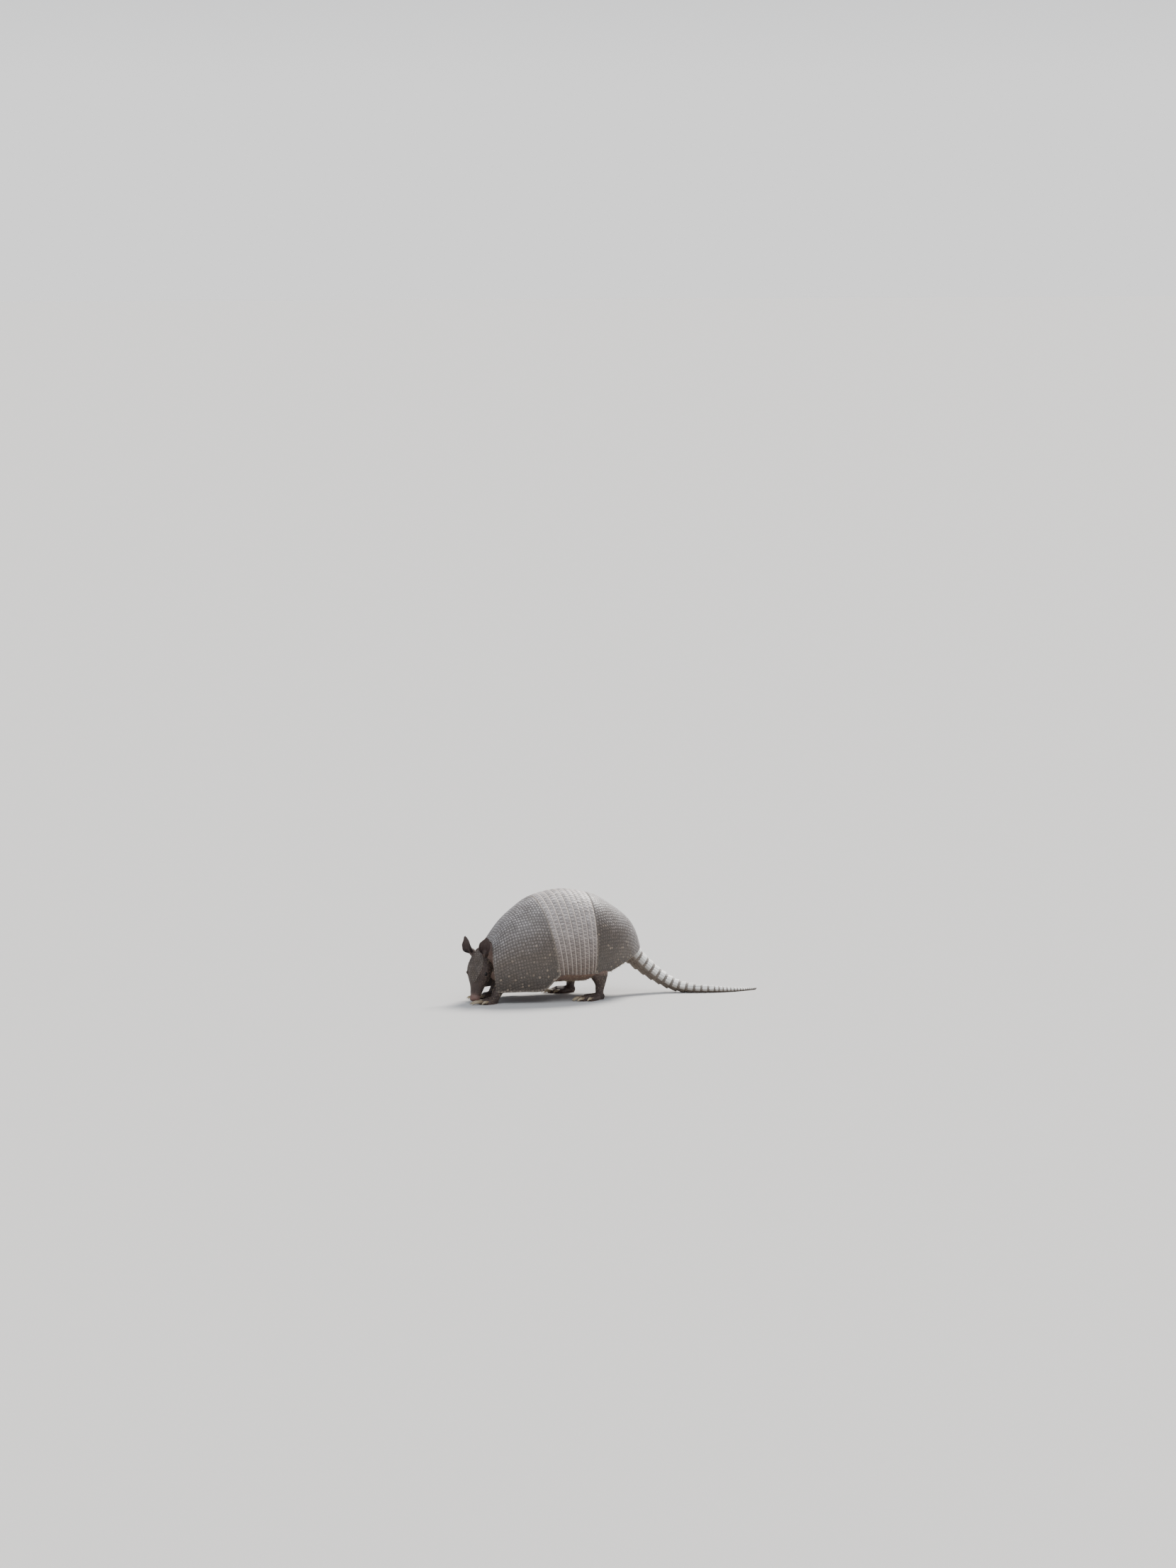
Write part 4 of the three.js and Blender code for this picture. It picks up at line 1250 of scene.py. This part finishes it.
def dig_nostrils(local):
    """Two comma-shaped nostrils in the front of the nose, and the groove between them."""
    front = smooth(-99.5, -101.0, local[:, 1])
    x, z = np.abs(local[:, 0]), local[:, 2] + 2.2
    hole = np.hypot((x - 4.1) / 1.25, (z + 0.2 * (x - 4.1)) / 1.0)
    slit = np.hypot((x - 5.8) / 1.9, (z - 1.3 - 0.5 * (x - 5.8)) / 0.5)
    depth = 3.4 * fall(0.8, 1.5, hole) + 1.2 * fall(0.5, 1.4, slit)
    rim = 0.45 * bump(hole - 2.0, 0.45)
    seam = 0.5 * bump(x, 0.5) * fall(-2, 1, z)
    local = local.copy()
    local[:, 1] += front * (depth - rim + seam)
    return local


def head_places(local):
    """For points in the head's frame: how far along it they are, from 0 to 1, their angle round it from
    the crown, and the head's radius there."""
    t = -local[:, 1] / HEAD["length"]
    at = {key: spline(knots, clip(t)) for key, knots in SKULL.items()}
    height = local[:, 2] - at["lift"]
    deep = np.where(height > 0, at["top"], at["under"])
    return t, np.arctan2(np.abs(local[:, 0]) / at["wide"], height / deep), 0.5 * (at["wide"] + at["under"])


# ---------------------------------------------------------------- details of the skin

BELLY_SPOTS = {"across": 6.5, "along": 7.5, "size": 1.25}
SCALES = {"body": (3.1, 21), "muzzle": (2.0, 41), "grain": (1.3, 31)}  # pitches and seeds


def creased(distance, apart):
    """Rounded folds of skin with narrow valleys between them, from 0 down to -1."""
    return np.abs(np.sin(math.pi * distance / apart)) ** 0.6 - 1


def fold_neck(points, amount):
    """Folds that ring the neck and spread over the chest towards the shield's front rim."""
    from_head_end = points[:, 1] + np.hypot(points[:, 0], points[:, 2] - 88)
    return amount * (0.95 * creased(from_head_end + 2.6 * waves(points, 34, 8), 6.8)
                     + 0.3 * creased(from_head_end + 1.5 * waves(points, 12, 9), 2.9))


def belly_spots(points, amount):
    """Rows of small raised scutes across the belly, from which its hairs grow."""
    along = points[:, 1] / BELLY_SPOTS["along"] + 0.1 * waves(points, 30, 14)
    row = np.floor(along)
    across = points[:, 0] / BELLY_SPOTS["across"] + 0.5 * np.mod(row, 2)
    apart = np.hypot((across - np.floor(across) - 0.5) * BELLY_SPOTS["across"],
                     (along - row - 0.5) * BELLY_SPOTS["along"])
    return amount * fall(0.4, 1.0, apart / BELLY_SPOTS["size"])


def ear_details(points, normals):
    """Veins along the ears, and how much each point faces their open side."""
    rise, face, across = ear_axes()
    local = to_head(points)
    mirror = np.stack([np.sign(local[:, 0]), 1 + 0 * local[:, 0], 1 + 0 * local[:, 0]], axis=1)
    place = local * mirror - EAR["at"]
    up = place @ rise
    veins = creased(place @ across + 0.9 * waves(points, 9, 6), 4.4)
    facing = (normals @ HEAD_TURN) * mirror @ face
    return veins * smooth(2, 9, up) * fall(26, 35, up), smooth(0.1, 0.6, facing)


def skin_regions(mesh, points, normals):
    """How much each point belongs to each kind of flesh and to each region that looks its own way, and its
    place on the head."""
    kind = read_value(mesh, "kind")
    at = {name: blurred(mesh, (kind == n).astype(float)) for name, n in KINDS.items()}
    local, height = to_head(points), points[:, 2]
    at["t"], at["side_angle"], at["radius"] = head_places(local)
    at["lids"] = past_nearer_lids(local)
    at["face"] = at["head"] * smooth(0.02, 0.1, at["t"])
    at["muzzle"] = smooth(0.6, 0.75, at["t"]) * at["face"]
    at["nose"] = at["face"] * smooth(0.9, 0.95, at["t"])
    cheek = at["face"] * (1 - at["nose"]) * smooth(2.2, 4.2, at["lids"]) * (1 - 0.6 * at["muzzle"])
    at["limb"] = clip(at["leg"] * fall(46, 58, height) + 0.8 * at["toe"]) * smooth(0.6, 2.5, height)
    at["scaly"] = clip(0.9 * (cheek * fall(2.5, 2.8, at["side_angle"])) + at["limb"])
    at["grainy"] = clip(at["ear"] + at["nose"] + clip(at["neck"] + at["trunk"]))
    at["chest"] = clip(at["neck"] + at["trunk"] * fall(38, 60, points[:, 1]))
    at["belly"] = at["trunk"] * (1 - at["chest"]) * smooth(0.1, 0.5, -normals[:, 2])
    at["spot"] = belly_spots(points, at["belly"])
    at["vein"], at["inside"] = ear_details(points, normals)
    return at


def skin_relief(points, at, scale_edge, grain_edge):
    """How far each point of the skin moves outwards, in mm."""
    ridges = creased(points[:, 1] + 2 * waves(points, 40, 9), 7.5)
    ankle = creased(points[:, 2] + 1.3 * waves(points, 14, 10), 4.2)
    out = at["face"] * shape_muzzle(to_head(points), at["side_angle"], at["t"], at["radius"])
    out += at["scaly"] * 0.46 * (smooth(0, 0.9, scale_edge) - 0.8)
    out += at["grainy"] * 0.12 * (smooth(0, 0.5, grain_edge) - 0.6)
    out += fold_neck(points, at["chest"])
    out += 0.45 * at["spot"] + 0.35 * ridges * at["belly"] + 0.5 * waves(points, 22, 12) * at["trunk"]
    out += at["leg"] * 0.4 * ankle * smooth(9, 13, points[:, 2]) * fall(22, 32, points[:, 2])
    out += at["ear"] * 0.22 * at["vein"]
    return out


def carve_face(points, face):
    """Lids and nostrils, where the points belong to the face."""
    local = to_head(points)
    for side in (1, -1):
        local = round_eye(local, side)
    carved = from_head(dig_nostrils(local))
    return np.where((face > 0.3)[:, None], carved, points)


def skin_values(points, at, scales, grain):
    """What the skin's mesh holds for its material."""
    lips = at["face"] * smooth(0.6, 0.7, at["t"]) * smooth(1.9, 2.3, at["side_angle"])
    valleys = at["chest"] * clip(-fold_neck(points, 1) - 0.5)
    grooves = np.maximum(at["scaly"] * fall(0, 0.8, scales[0]), 0.4 * at["grainy"] * fall(0, 0.4, grain[0]))
    return {
        "groove": 1 - clip(grooves + 0.7 * valleys),
        "tone": np.where(at["scaly"] > 0.5, scales[1], grain[1]),
        "scaly": at["scaly"],
        "pink": clip(0.85 * at["face"] * smooth(0.86, 1.0, at["t"]) + 0.45 * lips),
        "belly": clip(at["trunk"] + 0.4 * at["neck"] - 0.5 * at["chest"]),
        "dark": clip(at["ear"] + 0.9 * at["head"] * fall(0.83, 0.97, at["t"]) + 0.85 * at["limb"]),
        "lid": at["face"] * fall(0.3, 1.0, at["lids"]),
        "ear": at["ear"],
        "inside": at["ear"] * at["inside"],
        "spot": at["spot"],
    }


def detail_skin(piece):
    """Moves the skin's points into folds, lids, lips, nostrils and scales, and gives its material values."""
    mesh = piece.data
    points, normals = skin_points(mesh), skin_normals(mesh)
    at = skin_regions(mesh, points, normals)
    body, small, grain = (cells(points, *SCALES[name]) for name in ("body", "muzzle", "grain"))
    scales = [np.where(at["muzzle"] > 0.5, a, b) for a, b in zip(small, body)]
    out = skin_relief(points, at, scales[0], grain[0])
    points = above_floor(carve_face(points + normals * out[:, None], at["face"]))
    set_skin_points(mesh, points)
    for name, value in skin_values(points, at, scales, grain).items():
        set_value(mesh, name, value)


def build_skin():
    """The one skin: joined from its sources, thinned where hidden, finer on the head, then detailed."""
    piece = join_sources(skin_sources())
    thin_out(piece)
    kind, local = read_value(piece.data, "kind"), to_head(skin_points(piece.data))
    refine(piece, ((kind == KINDS["head"]) & (local[:, 1] < -8)) | (kind == KINDS["ear"]))
    for reach in (10, 7):
        local = to_head(skin_points(piece.data))
        from_eyes = [np.linalg.norm(local - EYE["at"] * [side, 1, 1], axis=1) for side in (1, -1)]
        refine(piece, np.minimum(*from_eyes) < reach)
    kind = read_value(piece.data, "kind")
    on_ear = kind == KINDS["ear"]
    points = relax(piece.data, skin_points(piece.data), 5, (kind == KINDS["head"]) + 0.9 * on_ear)
    set_skin_points(piece.data, relax(piece.data, points, 7, 0.9 * on_ear))
    detail_skin(piece)
    nodes = ["trunk", "neck", "head", "ear_left", "ear_right", "leg_front_left", "leg_front_right",
             "leg_hind_left", "leg_hind_right"]
    return dress(piece, "skin", *nodes)


# ---------------------------------------------------------------- head shield, eyes and claws

# Places along the head and half widths of its shield, from the crown to the muzzle.
SHIELD_EDGE = [(1, 0.4), (0.2, 5), (-2, 8.8), (-6, 12), (-12, 14.5), (-22, 17.6), (-31, 18.3), (-40, 17.2),
               (-52, 12), (-60, 7.6), (-65, 4), (-68, 0.2)]


def brow_surface():
    """The head shield's surface in the head's frame, its normals, and each point's distance to its rim."""
    y = np.linspace(SHIELD_EDGE[0][0], SHIELD_EDGE[-1][0], 190)[:, None]
    half = np.interp(y, *np.array(SHIELD_EDGE[::-1]).T)
    x = np.linspace(-1, 1, 101)[None, :] * half
    t = clip(-y / HEAD["length"]) + 0 * x
    out = GAP + BROW
    angle = np.arcsin(np.clip(x / (spline(SKULL["wide"], t) + out), -0.99, 0.99))
    points = skull(t, angle, out)
    points[..., 1] = y + 0 * x
    points[..., 2] -= 0.12 * np.maximum(y, 0) ** 2
    broad = np.flatnonzero(half[:, 0] > 4)
    normal = grid_normals(points)[np.clip(np.arange(len(y)), broad[0], broad[-1])]
    normal *= np.sign(normal[..., 2:])
    return points, normal, np.minimum(half - np.abs(x), np.minimum(y[0] - y, y - y[-1]))


def build_head_shield():
    """The shield on the crown and brow: many-sided scutes, and a rim that dips into the skin."""
    points, normal, rim = brow_surface()
    across = np.cumsum(np.linalg.norm(np.diff(points, axis=1, prepend=points[:, :1]), axis=-1), axis=1)
    across -= across[:, 50:51]
    edge, tone, _ = rosettes(across, points[..., 1], BROW_SCUTE, jitter=0.24, small=False, seed=17)
    dome = smooth(0, 1.1, edge)
    lift = 0.5 * (dome - 1) - (BROW + 0.5) * fall(0, 1.5, rim)
    back = np.arange(len(points) - 1, -1, -12)
    under = (points + normal * (lift - 1.3)[..., None])[back]
    points = from_head(np.concatenate([points + normal * lift[..., None], under]))
    values = dict(groove=dome, tone=tone, edge=fall(0.8, 2.6, rim))
    sheets = Sheets(*VALUES)
    sheets.plate(points, back, **padded(values, len(back), INNER_VALUE))
    return sheets.make("head_armour", MATERIALS["head_shield"])


def build_eye(side, name):
    """An eyeball with a clear bulge in front, dark but for a brown ring."""
    out, ahead, up = eye_axes(side)
    polar = np.linspace(0.02, math.pi - 0.02, 40)[:, None]
    turn = around(56)[None, :]
    radius = EYE["radius"] + 0.22 * fall(0.3, 0.75, polar) + 0 * turn
    parts = (np.cos(polar) + 0 * turn, np.sin(polar) * np.cos(turn), np.sin(polar) * np.sin(turn))
    spot = sum(part[..., None] * axis for part, axis in zip(parts, (out, ahead, up)))
    sheets = Sheets("iris")
    sheets.tube(from_head(EYE["at"] * [side, 1, 1] + radius[..., None] * spot),
                iris=(polar > 0.28) & (polar < 0.62))
    return sheets.make(name, MATERIALS["eye"])


def build_claw(toe, leg, side, name):
    """A horny claw, deeper than wide, that grows out of its toe and curves down to the floor."""
    long, claw = toe["long"], toe["claw"]
    stations = [(-3, 5.0, 2.7, 2.9), (3, 5.6, 2.8, 3.1), (0.4 * claw, 5.6, 2.3, 2.8),
                (0.65 * claw, 4.7, 1.8, 2.2), (0.86 * claw, 3.1, 1.1, 1.4), (claw - 0.2, 1.2, 0.35, 0.45)]
    stations = [(*on_toe(toe, long + far, height), wide, deep) for far, height, wide, deep in stations]
    tube = tube_source(stations, (0, 0, 1), 28, 12)
    t = np.linspace(0, 1, len(tube))[:, None] + np.zeros((1, tube.shape[1]))
    middle = tube.mean(axis=1, keepdims=True)
    rings = 1 + 0.012 * np.sin(60 * t) * (1 - t)
    angle = around(tube.shape[1])[None, :]
    pinch = 1 - 0.16 * np.abs(np.sin(angle)) ** 6 * (np.sin(angle) < 0)
    tube = above_floor(middle + (tube - middle) * (rings * pinch)[..., None])
    sheets = Sheets("along")
    sheets.tube(foot_place(tube, leg, side), along=t)
    return sheets.make(name, MATERIALS["claw"])


def build_claws():
    for side, word in ((1, "left"), (-1, "right")):
        for where, leg in LEGS.items():
            for i, toe in enumerate(toes_of(leg), 1):
                claw = build_claw(toe, leg, side, f"horn_{where}_{word}_{i}")
                dress(claw, "claw", f"claw_{where}_{word}_{i}")


# ---------------------------------------------------------------- hair

# In mm, but for the patch, a hair's width on the map; none grows where the armour is nearer than the gap.
HAIR = {"radius": 0.13, "rings": 5, "sides": 3, "gap": 20, "patch": 0.003}
COATS = {  # tufts, hairs in each, shortest and longest hair in mm, how far they stand out, and how they fan
    "belly": {"tufts": 900, "hairs": 3, "length": (3.5, 8), "rise": 0.42, "fan": 0.35},
    "legs": {"tufts": 800, "hairs": 2, "length": (2, 4.5), "rise": 0.32, "fan": 0.3},
    "face": {"tufts": 800, "hairs": 2, "length": (1.2, 3.0), "rise": 0.3, "fan": 0.25},
}


def unwrapped(points, kind):
    """Places on an unwrap of the skin: round and along the trunk, the head and each leg, in tiles of their
    own."""
    def turn_of(a, b):
        return np.arctan2(a, b) / (2 * math.pi) + 0.5

    local = to_head(points)
    leg = 2 * (points[:, 0] > 0) + (points[:, 1] > 130)
    heels = np.array([LEGS[where]["heel"][side][:2] for side in (-1, 1) for where in ("front", "hind")])
    from_heel = points[:, :2] - heels[leg]
    head_u, body_u = turn_of(local[:, 0], local[:, 2]), turn_of(points[:, 0], points[:, 2] - 90)
    leg_u = turn_of(from_heel[:, 0], from_heel[:, 1] + 8)
    body = np.stack([body_u, 0.5 * (points[:, 1] + 60) / 400], axis=1)
    head = np.stack([0.32 * head_u, 0.52 + 0.46 * (20 - local[:, 1]) / 140], axis=1)
    legs = np.stack([0.34 + 0.16 * (leg + leg_u), 0.52 + 0.46 * points[:, 2] / 80], axis=1)
    on_head = (kind == KINDS["head"]) | (kind == KINDS["ear"])
    on_leg = (kind == KINDS["leg"]) | (kind == KINDS["toe"])
    return np.where(on_leg[:, None], legs, np.where(on_head[:, None], head, body))


def roots(skin, wanted, count, seed):
    """Points of the skin to grow tufts from, more of them where wanted is high, none under the armour."""
    mesh = skin.data
    sizes, total = read(mesh.polygons, "area"), read(mesh.polygons, "loop_total", 1, np.int32)
    corner = read(mesh.loops, "vertex_index", 1, np.int32)
    chance = np.bincount(corner, np.repeat(sizes / total, total), len(mesh.vertices)) * wanted
    rng = np.random.default_rng(seed)
    picked = rng.choice(len(chance), 2 * count, replace=False, p=chance / chance.sum())
    tree = armour_tree()
    clear = [i for i in picked if not under_armour(tree, mesh.vertices[i], HAIR["gap"])]
    return np.array(clear[:count])


def hair_tubes(spine, normals):
    """Thin spikes along the spines, with the faces of all of them."""
    count, rings, sides = len(spine), HAIR["rings"], HAIR["sides"]
    ahead = unit(np.gradient(spine, axis=1))
    side = unit(np.cross(ahead, normals[:, None, :]))
    up = np.cross(ahead, side)
    angle = around(sides)[:, None]
    ring = side[:, :, None] * np.cos(angle) + up[:, :, None] * np.sin(angle)
    thick = HAIR["radius"] * np.maximum(1 - np.linspace(0, 1, rings) ** 1.5, 0.12)
    first = sides * rings * np.arange(count)[:, None]
    k, j = sides * np.arange(rings - 1)[:, None], np.arange(sides)
    after = (j + 1) % sides
    quads = first[..., None, None] + np.stack([k + j, k + after, k + sides + after, k + sides + j], axis=-1)
    faces = [quads.reshape(-1, 4), first + j[::-1], first + sides * (rings - 1) + j]
    return spine[:, :, None] + ring * thick[:, None, None], faces


def build_coat(name, skin, wanted, lie, seed):
    """Tufts of fine curved hairs, each a thin closed spike, lying along the way given at each point."""
    coat, rings = COATS[name], HAIR["rings"]
    rng = np.random.default_rng(seed)
    root = np.repeat(roots(skin, wanted, coat["tufts"], seed), coat["hairs"])
    points, normals = skin_points(skin.data)[root], skin_normals(skin.data)[root]
    count = len(root)
    way = unit(lie[root] + coat["fan"] * rng.normal(size=(count, 3)))
    way = unit(way - np.sum(way * normals, axis=1, keepdims=True) * normals)
    way = unit(way + coat["rise"] * rng.uniform(0.6, 1.5, (count, 1)) * normals)
    step = rng.uniform(*coat["length"], (count, 1)) / (rings - 1)
    spine = [points + 0.25 * rng.normal(size=(count, 3)) - 0.3 * normals]
    for _ in range(rings - 1):
        spine.append(spine[-1] + way * step)
        way = unit(way + [0, 0.03, -0.1])
    spine = above_floor(np.stack(spine, axis=1), 0.4)
    along = np.linspace(0, 1, rings)
    sheets = Sheets("along", "tone")
    sheets.add(*hair_tubes(spine, normals), along=along[None, :, None], tone=rng.uniform(0, 1, (count, 1, 1)))
    piece = sheets.make(f"hair_{name}", MATERIALS["hair"])
    place = unwrapped(points, read_value(skin.data, "kind")[root])[:, None, None]
    spot = np.broadcast_arrays(0.3 * np.cos(around(HAIR["sides"]))[None, :], along[:, None] - 0.5)
    lay_out(piece.data, (place + HAIR["patch"] * np.stack(spot, axis=-1)).reshape(-1, 2))
    return dress(piece, "skin")


def lay_out(mesh, places):
    """Gives the mesh the map OFBake, with a place for each of its points."""
    corner = read(mesh.loops, "vertex_index", 1, np.int32)
    layer = mesh.uv_layers.new(name="OFBake")
    layer.data.foreach_set("uv", places[corner].astype(np.float32).ravel())


def build_hair(skin):
    """Sparse pale hair: longest on the belly, short on the legs, and shortest on the face and feet."""
    mesh = skin.data
    points, normals, kind = skin_points(mesh), skin_normals(mesh), read_value(mesh, "kind")
    local = to_head(points)
    t, side_angle, _ = head_places(local)
    soft = (kind == KINDS["trunk"]) | (kind == KINDS["neck"])
    belly = soft * (0.3 + smooth(-0.2, 0.6, -normals[:, 2]))
    back = np.array([0, 1.0, -0.25]) + 0.3 * np.sign(points[:, :1]) * [1, 0, 0]
    build_coat("belly", skin, belly, back, 61)
    leg = (kind == KINDS["leg"]) * smooth(4, 16, points[:, 2])
    leg = leg + 0.15 * (kind == KINDS["toe"]) * (points[:, 2] > 5)
    build_coat("legs", skin, leg, np.array([0, 0.3, -1.0]) + 0 * points, 62)
    face = (kind == KINDS["head"]) * smooth(0.6, 1.4, side_angle) * smooth(1.5, 3.0, past_nearer_lids(local))
    face = face * (t < 0.9) * (t > 0.04)
    build_coat("face", skin, face, np.array([0, 1.0, 0]) @ HEAD_TURN.T + 0 * points, 63)


# ---------------------------------------------------------------- stage

CAMERA = {"azimuth": 68, "elevation": 7.5, "distance": 10.884, "lens": 124, "turn": 0.468, "raise": 1.748}
MIDDLE = [0, 130, 100]  # the place that the camera's distance and direction are measured from
FLOOR = 240  # width of the floor, in metres
KEY = {"direction": (-0.45, 0.6, 0.9), "angle": 22, "power": 6.0, "colour": (1, 0.97, 0.93)}
FILL = {"direction": (0.6, -0.2, 1.2), "angle": 60, "power": 1.5, "colour": (0.93, 0.96, 1)}


def towards(azimuth, elevation):
    """The direction at angles in degrees round from the animal's front and up from the floor."""
    round_from_front, up = math.radians(azimuth), math.radians(elevation)
    return Vector((math.sin(round_from_front) * math.cos(up), -math.cos(round_from_front) * math.cos(up),
                   math.sin(up)))


def build_camera():
    """The camera looks at the animal's left side, a little from in front, and frames it low in a tall
    picture."""
    away = towards(CAMERA["azimuth"], CAMERA["elevation"])
    gaze = -towards(CAMERA["azimuth"] - CAMERA["turn"], CAMERA["elevation"] - CAMERA["raise"])
    data = bpy.data.cameras.new("camera")
    data.lens = CAMERA["lens"]
    data.clip_end = 500
    camera = bpy.data.objects.new("camera", data)
    camera.location = Vector((ORIGIN + MIDDLE) * MM) + CAMERA["distance"] * away
    camera.rotation_euler = gaze.to_track_quat("-Z", "Y").to_euler()
    bpy.context.scene.collection.objects.link(camera)
    bpy.context.scene.camera = camera


def build_sun(name, direction, angle, power, colour):
    """A broad soft light from one direction."""
    data = bpy.data.lights.new(name, "SUN")
    data.angle = math.radians(angle)
    data.energy, data.color = power, colour
    light = bpy.data.objects.new(name, data)
    light.rotation_euler = Vector(direction).to_track_quat("Z", "Y").to_euler()
    bpy.context.scene.collection.objects.link(light)


def build_world():
    """An even studio: a pale wall all round, and a slightly cooler ceiling."""
    world = bpy.data.worlds.new("studio")
    world.use_nodes = True
    tree = world.node_tree
    place = tree.nodes.new("ShaderNodeTexCoord")
    split = tree.nodes.new("ShaderNodeSeparateXYZ")
    ramp = tree.nodes.new("ShaderNodeValToRGB")
    tree.links.new(place.outputs["Generated"], split.inputs[0])
    tree.links.new(split.outputs["Z"], ramp.inputs[0])
    tree.links.new(ramp.outputs[0], tree.nodes["Background"].inputs[0])
    wall, ceiling = ramp.color_ramp.elements
    wall.position, wall.color = 0.03, (1.0, 1.0, 1.0, 1)
    ceiling.position, ceiling.color = 0.13, (0.27, 0.3, 0.35, 1)
    tree.nodes["Background"].inputs[1].default_value = 1.3
    bpy.context.scene.world = world


def build_stage():
    """A pale floor, two soft suns and the studio round them."""
    s = Surface("pale_floor", 0.2)
    pale = s.tint(srgb(202, 200, 197), s.noise(400, 2), 0.1, 196, 194, 191)
    material = s.finish(pale, s.range(s.noise(60), 0, 1, 0.8, 0.95), s.noise(2), 0.02)
    half = FLOOR / 2 / MM
    corners = np.array([(-half, -half, 0), (half, -half, 0), (half, half, 0), (-half, half, 0)]) - ORIGIN
    floor = Sheets()
    floor.add(corners, [np.array([[0, 1, 2, 3]])])
    floor.make("floor", material)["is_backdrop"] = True
    build_sun("key", **KEY)
    build_sun("fill", **FILL)
    build_world()


build_camera()
build_stage()
dress(build_shoulder(), "shield", "scapular_shield")
for k in range(BANDS):
    dress(build_band(k), "band", f"band_{k + 1}")
dress(build_hips(), "shield", "pelvic_shield")
build_tail()
build_hair(build_skin())
dress(build_head_shield(), "shield", "head_shield")
dress(build_eye(1, "eyeball_left"), "eye", "eye_left")
dress(build_eye(-1, "eyeball_right"), "eye", "eye_right")
build_claws()
dressed_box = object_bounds()
[[list(corner) for corner in box] for box in (cad_box, dressed_box)]
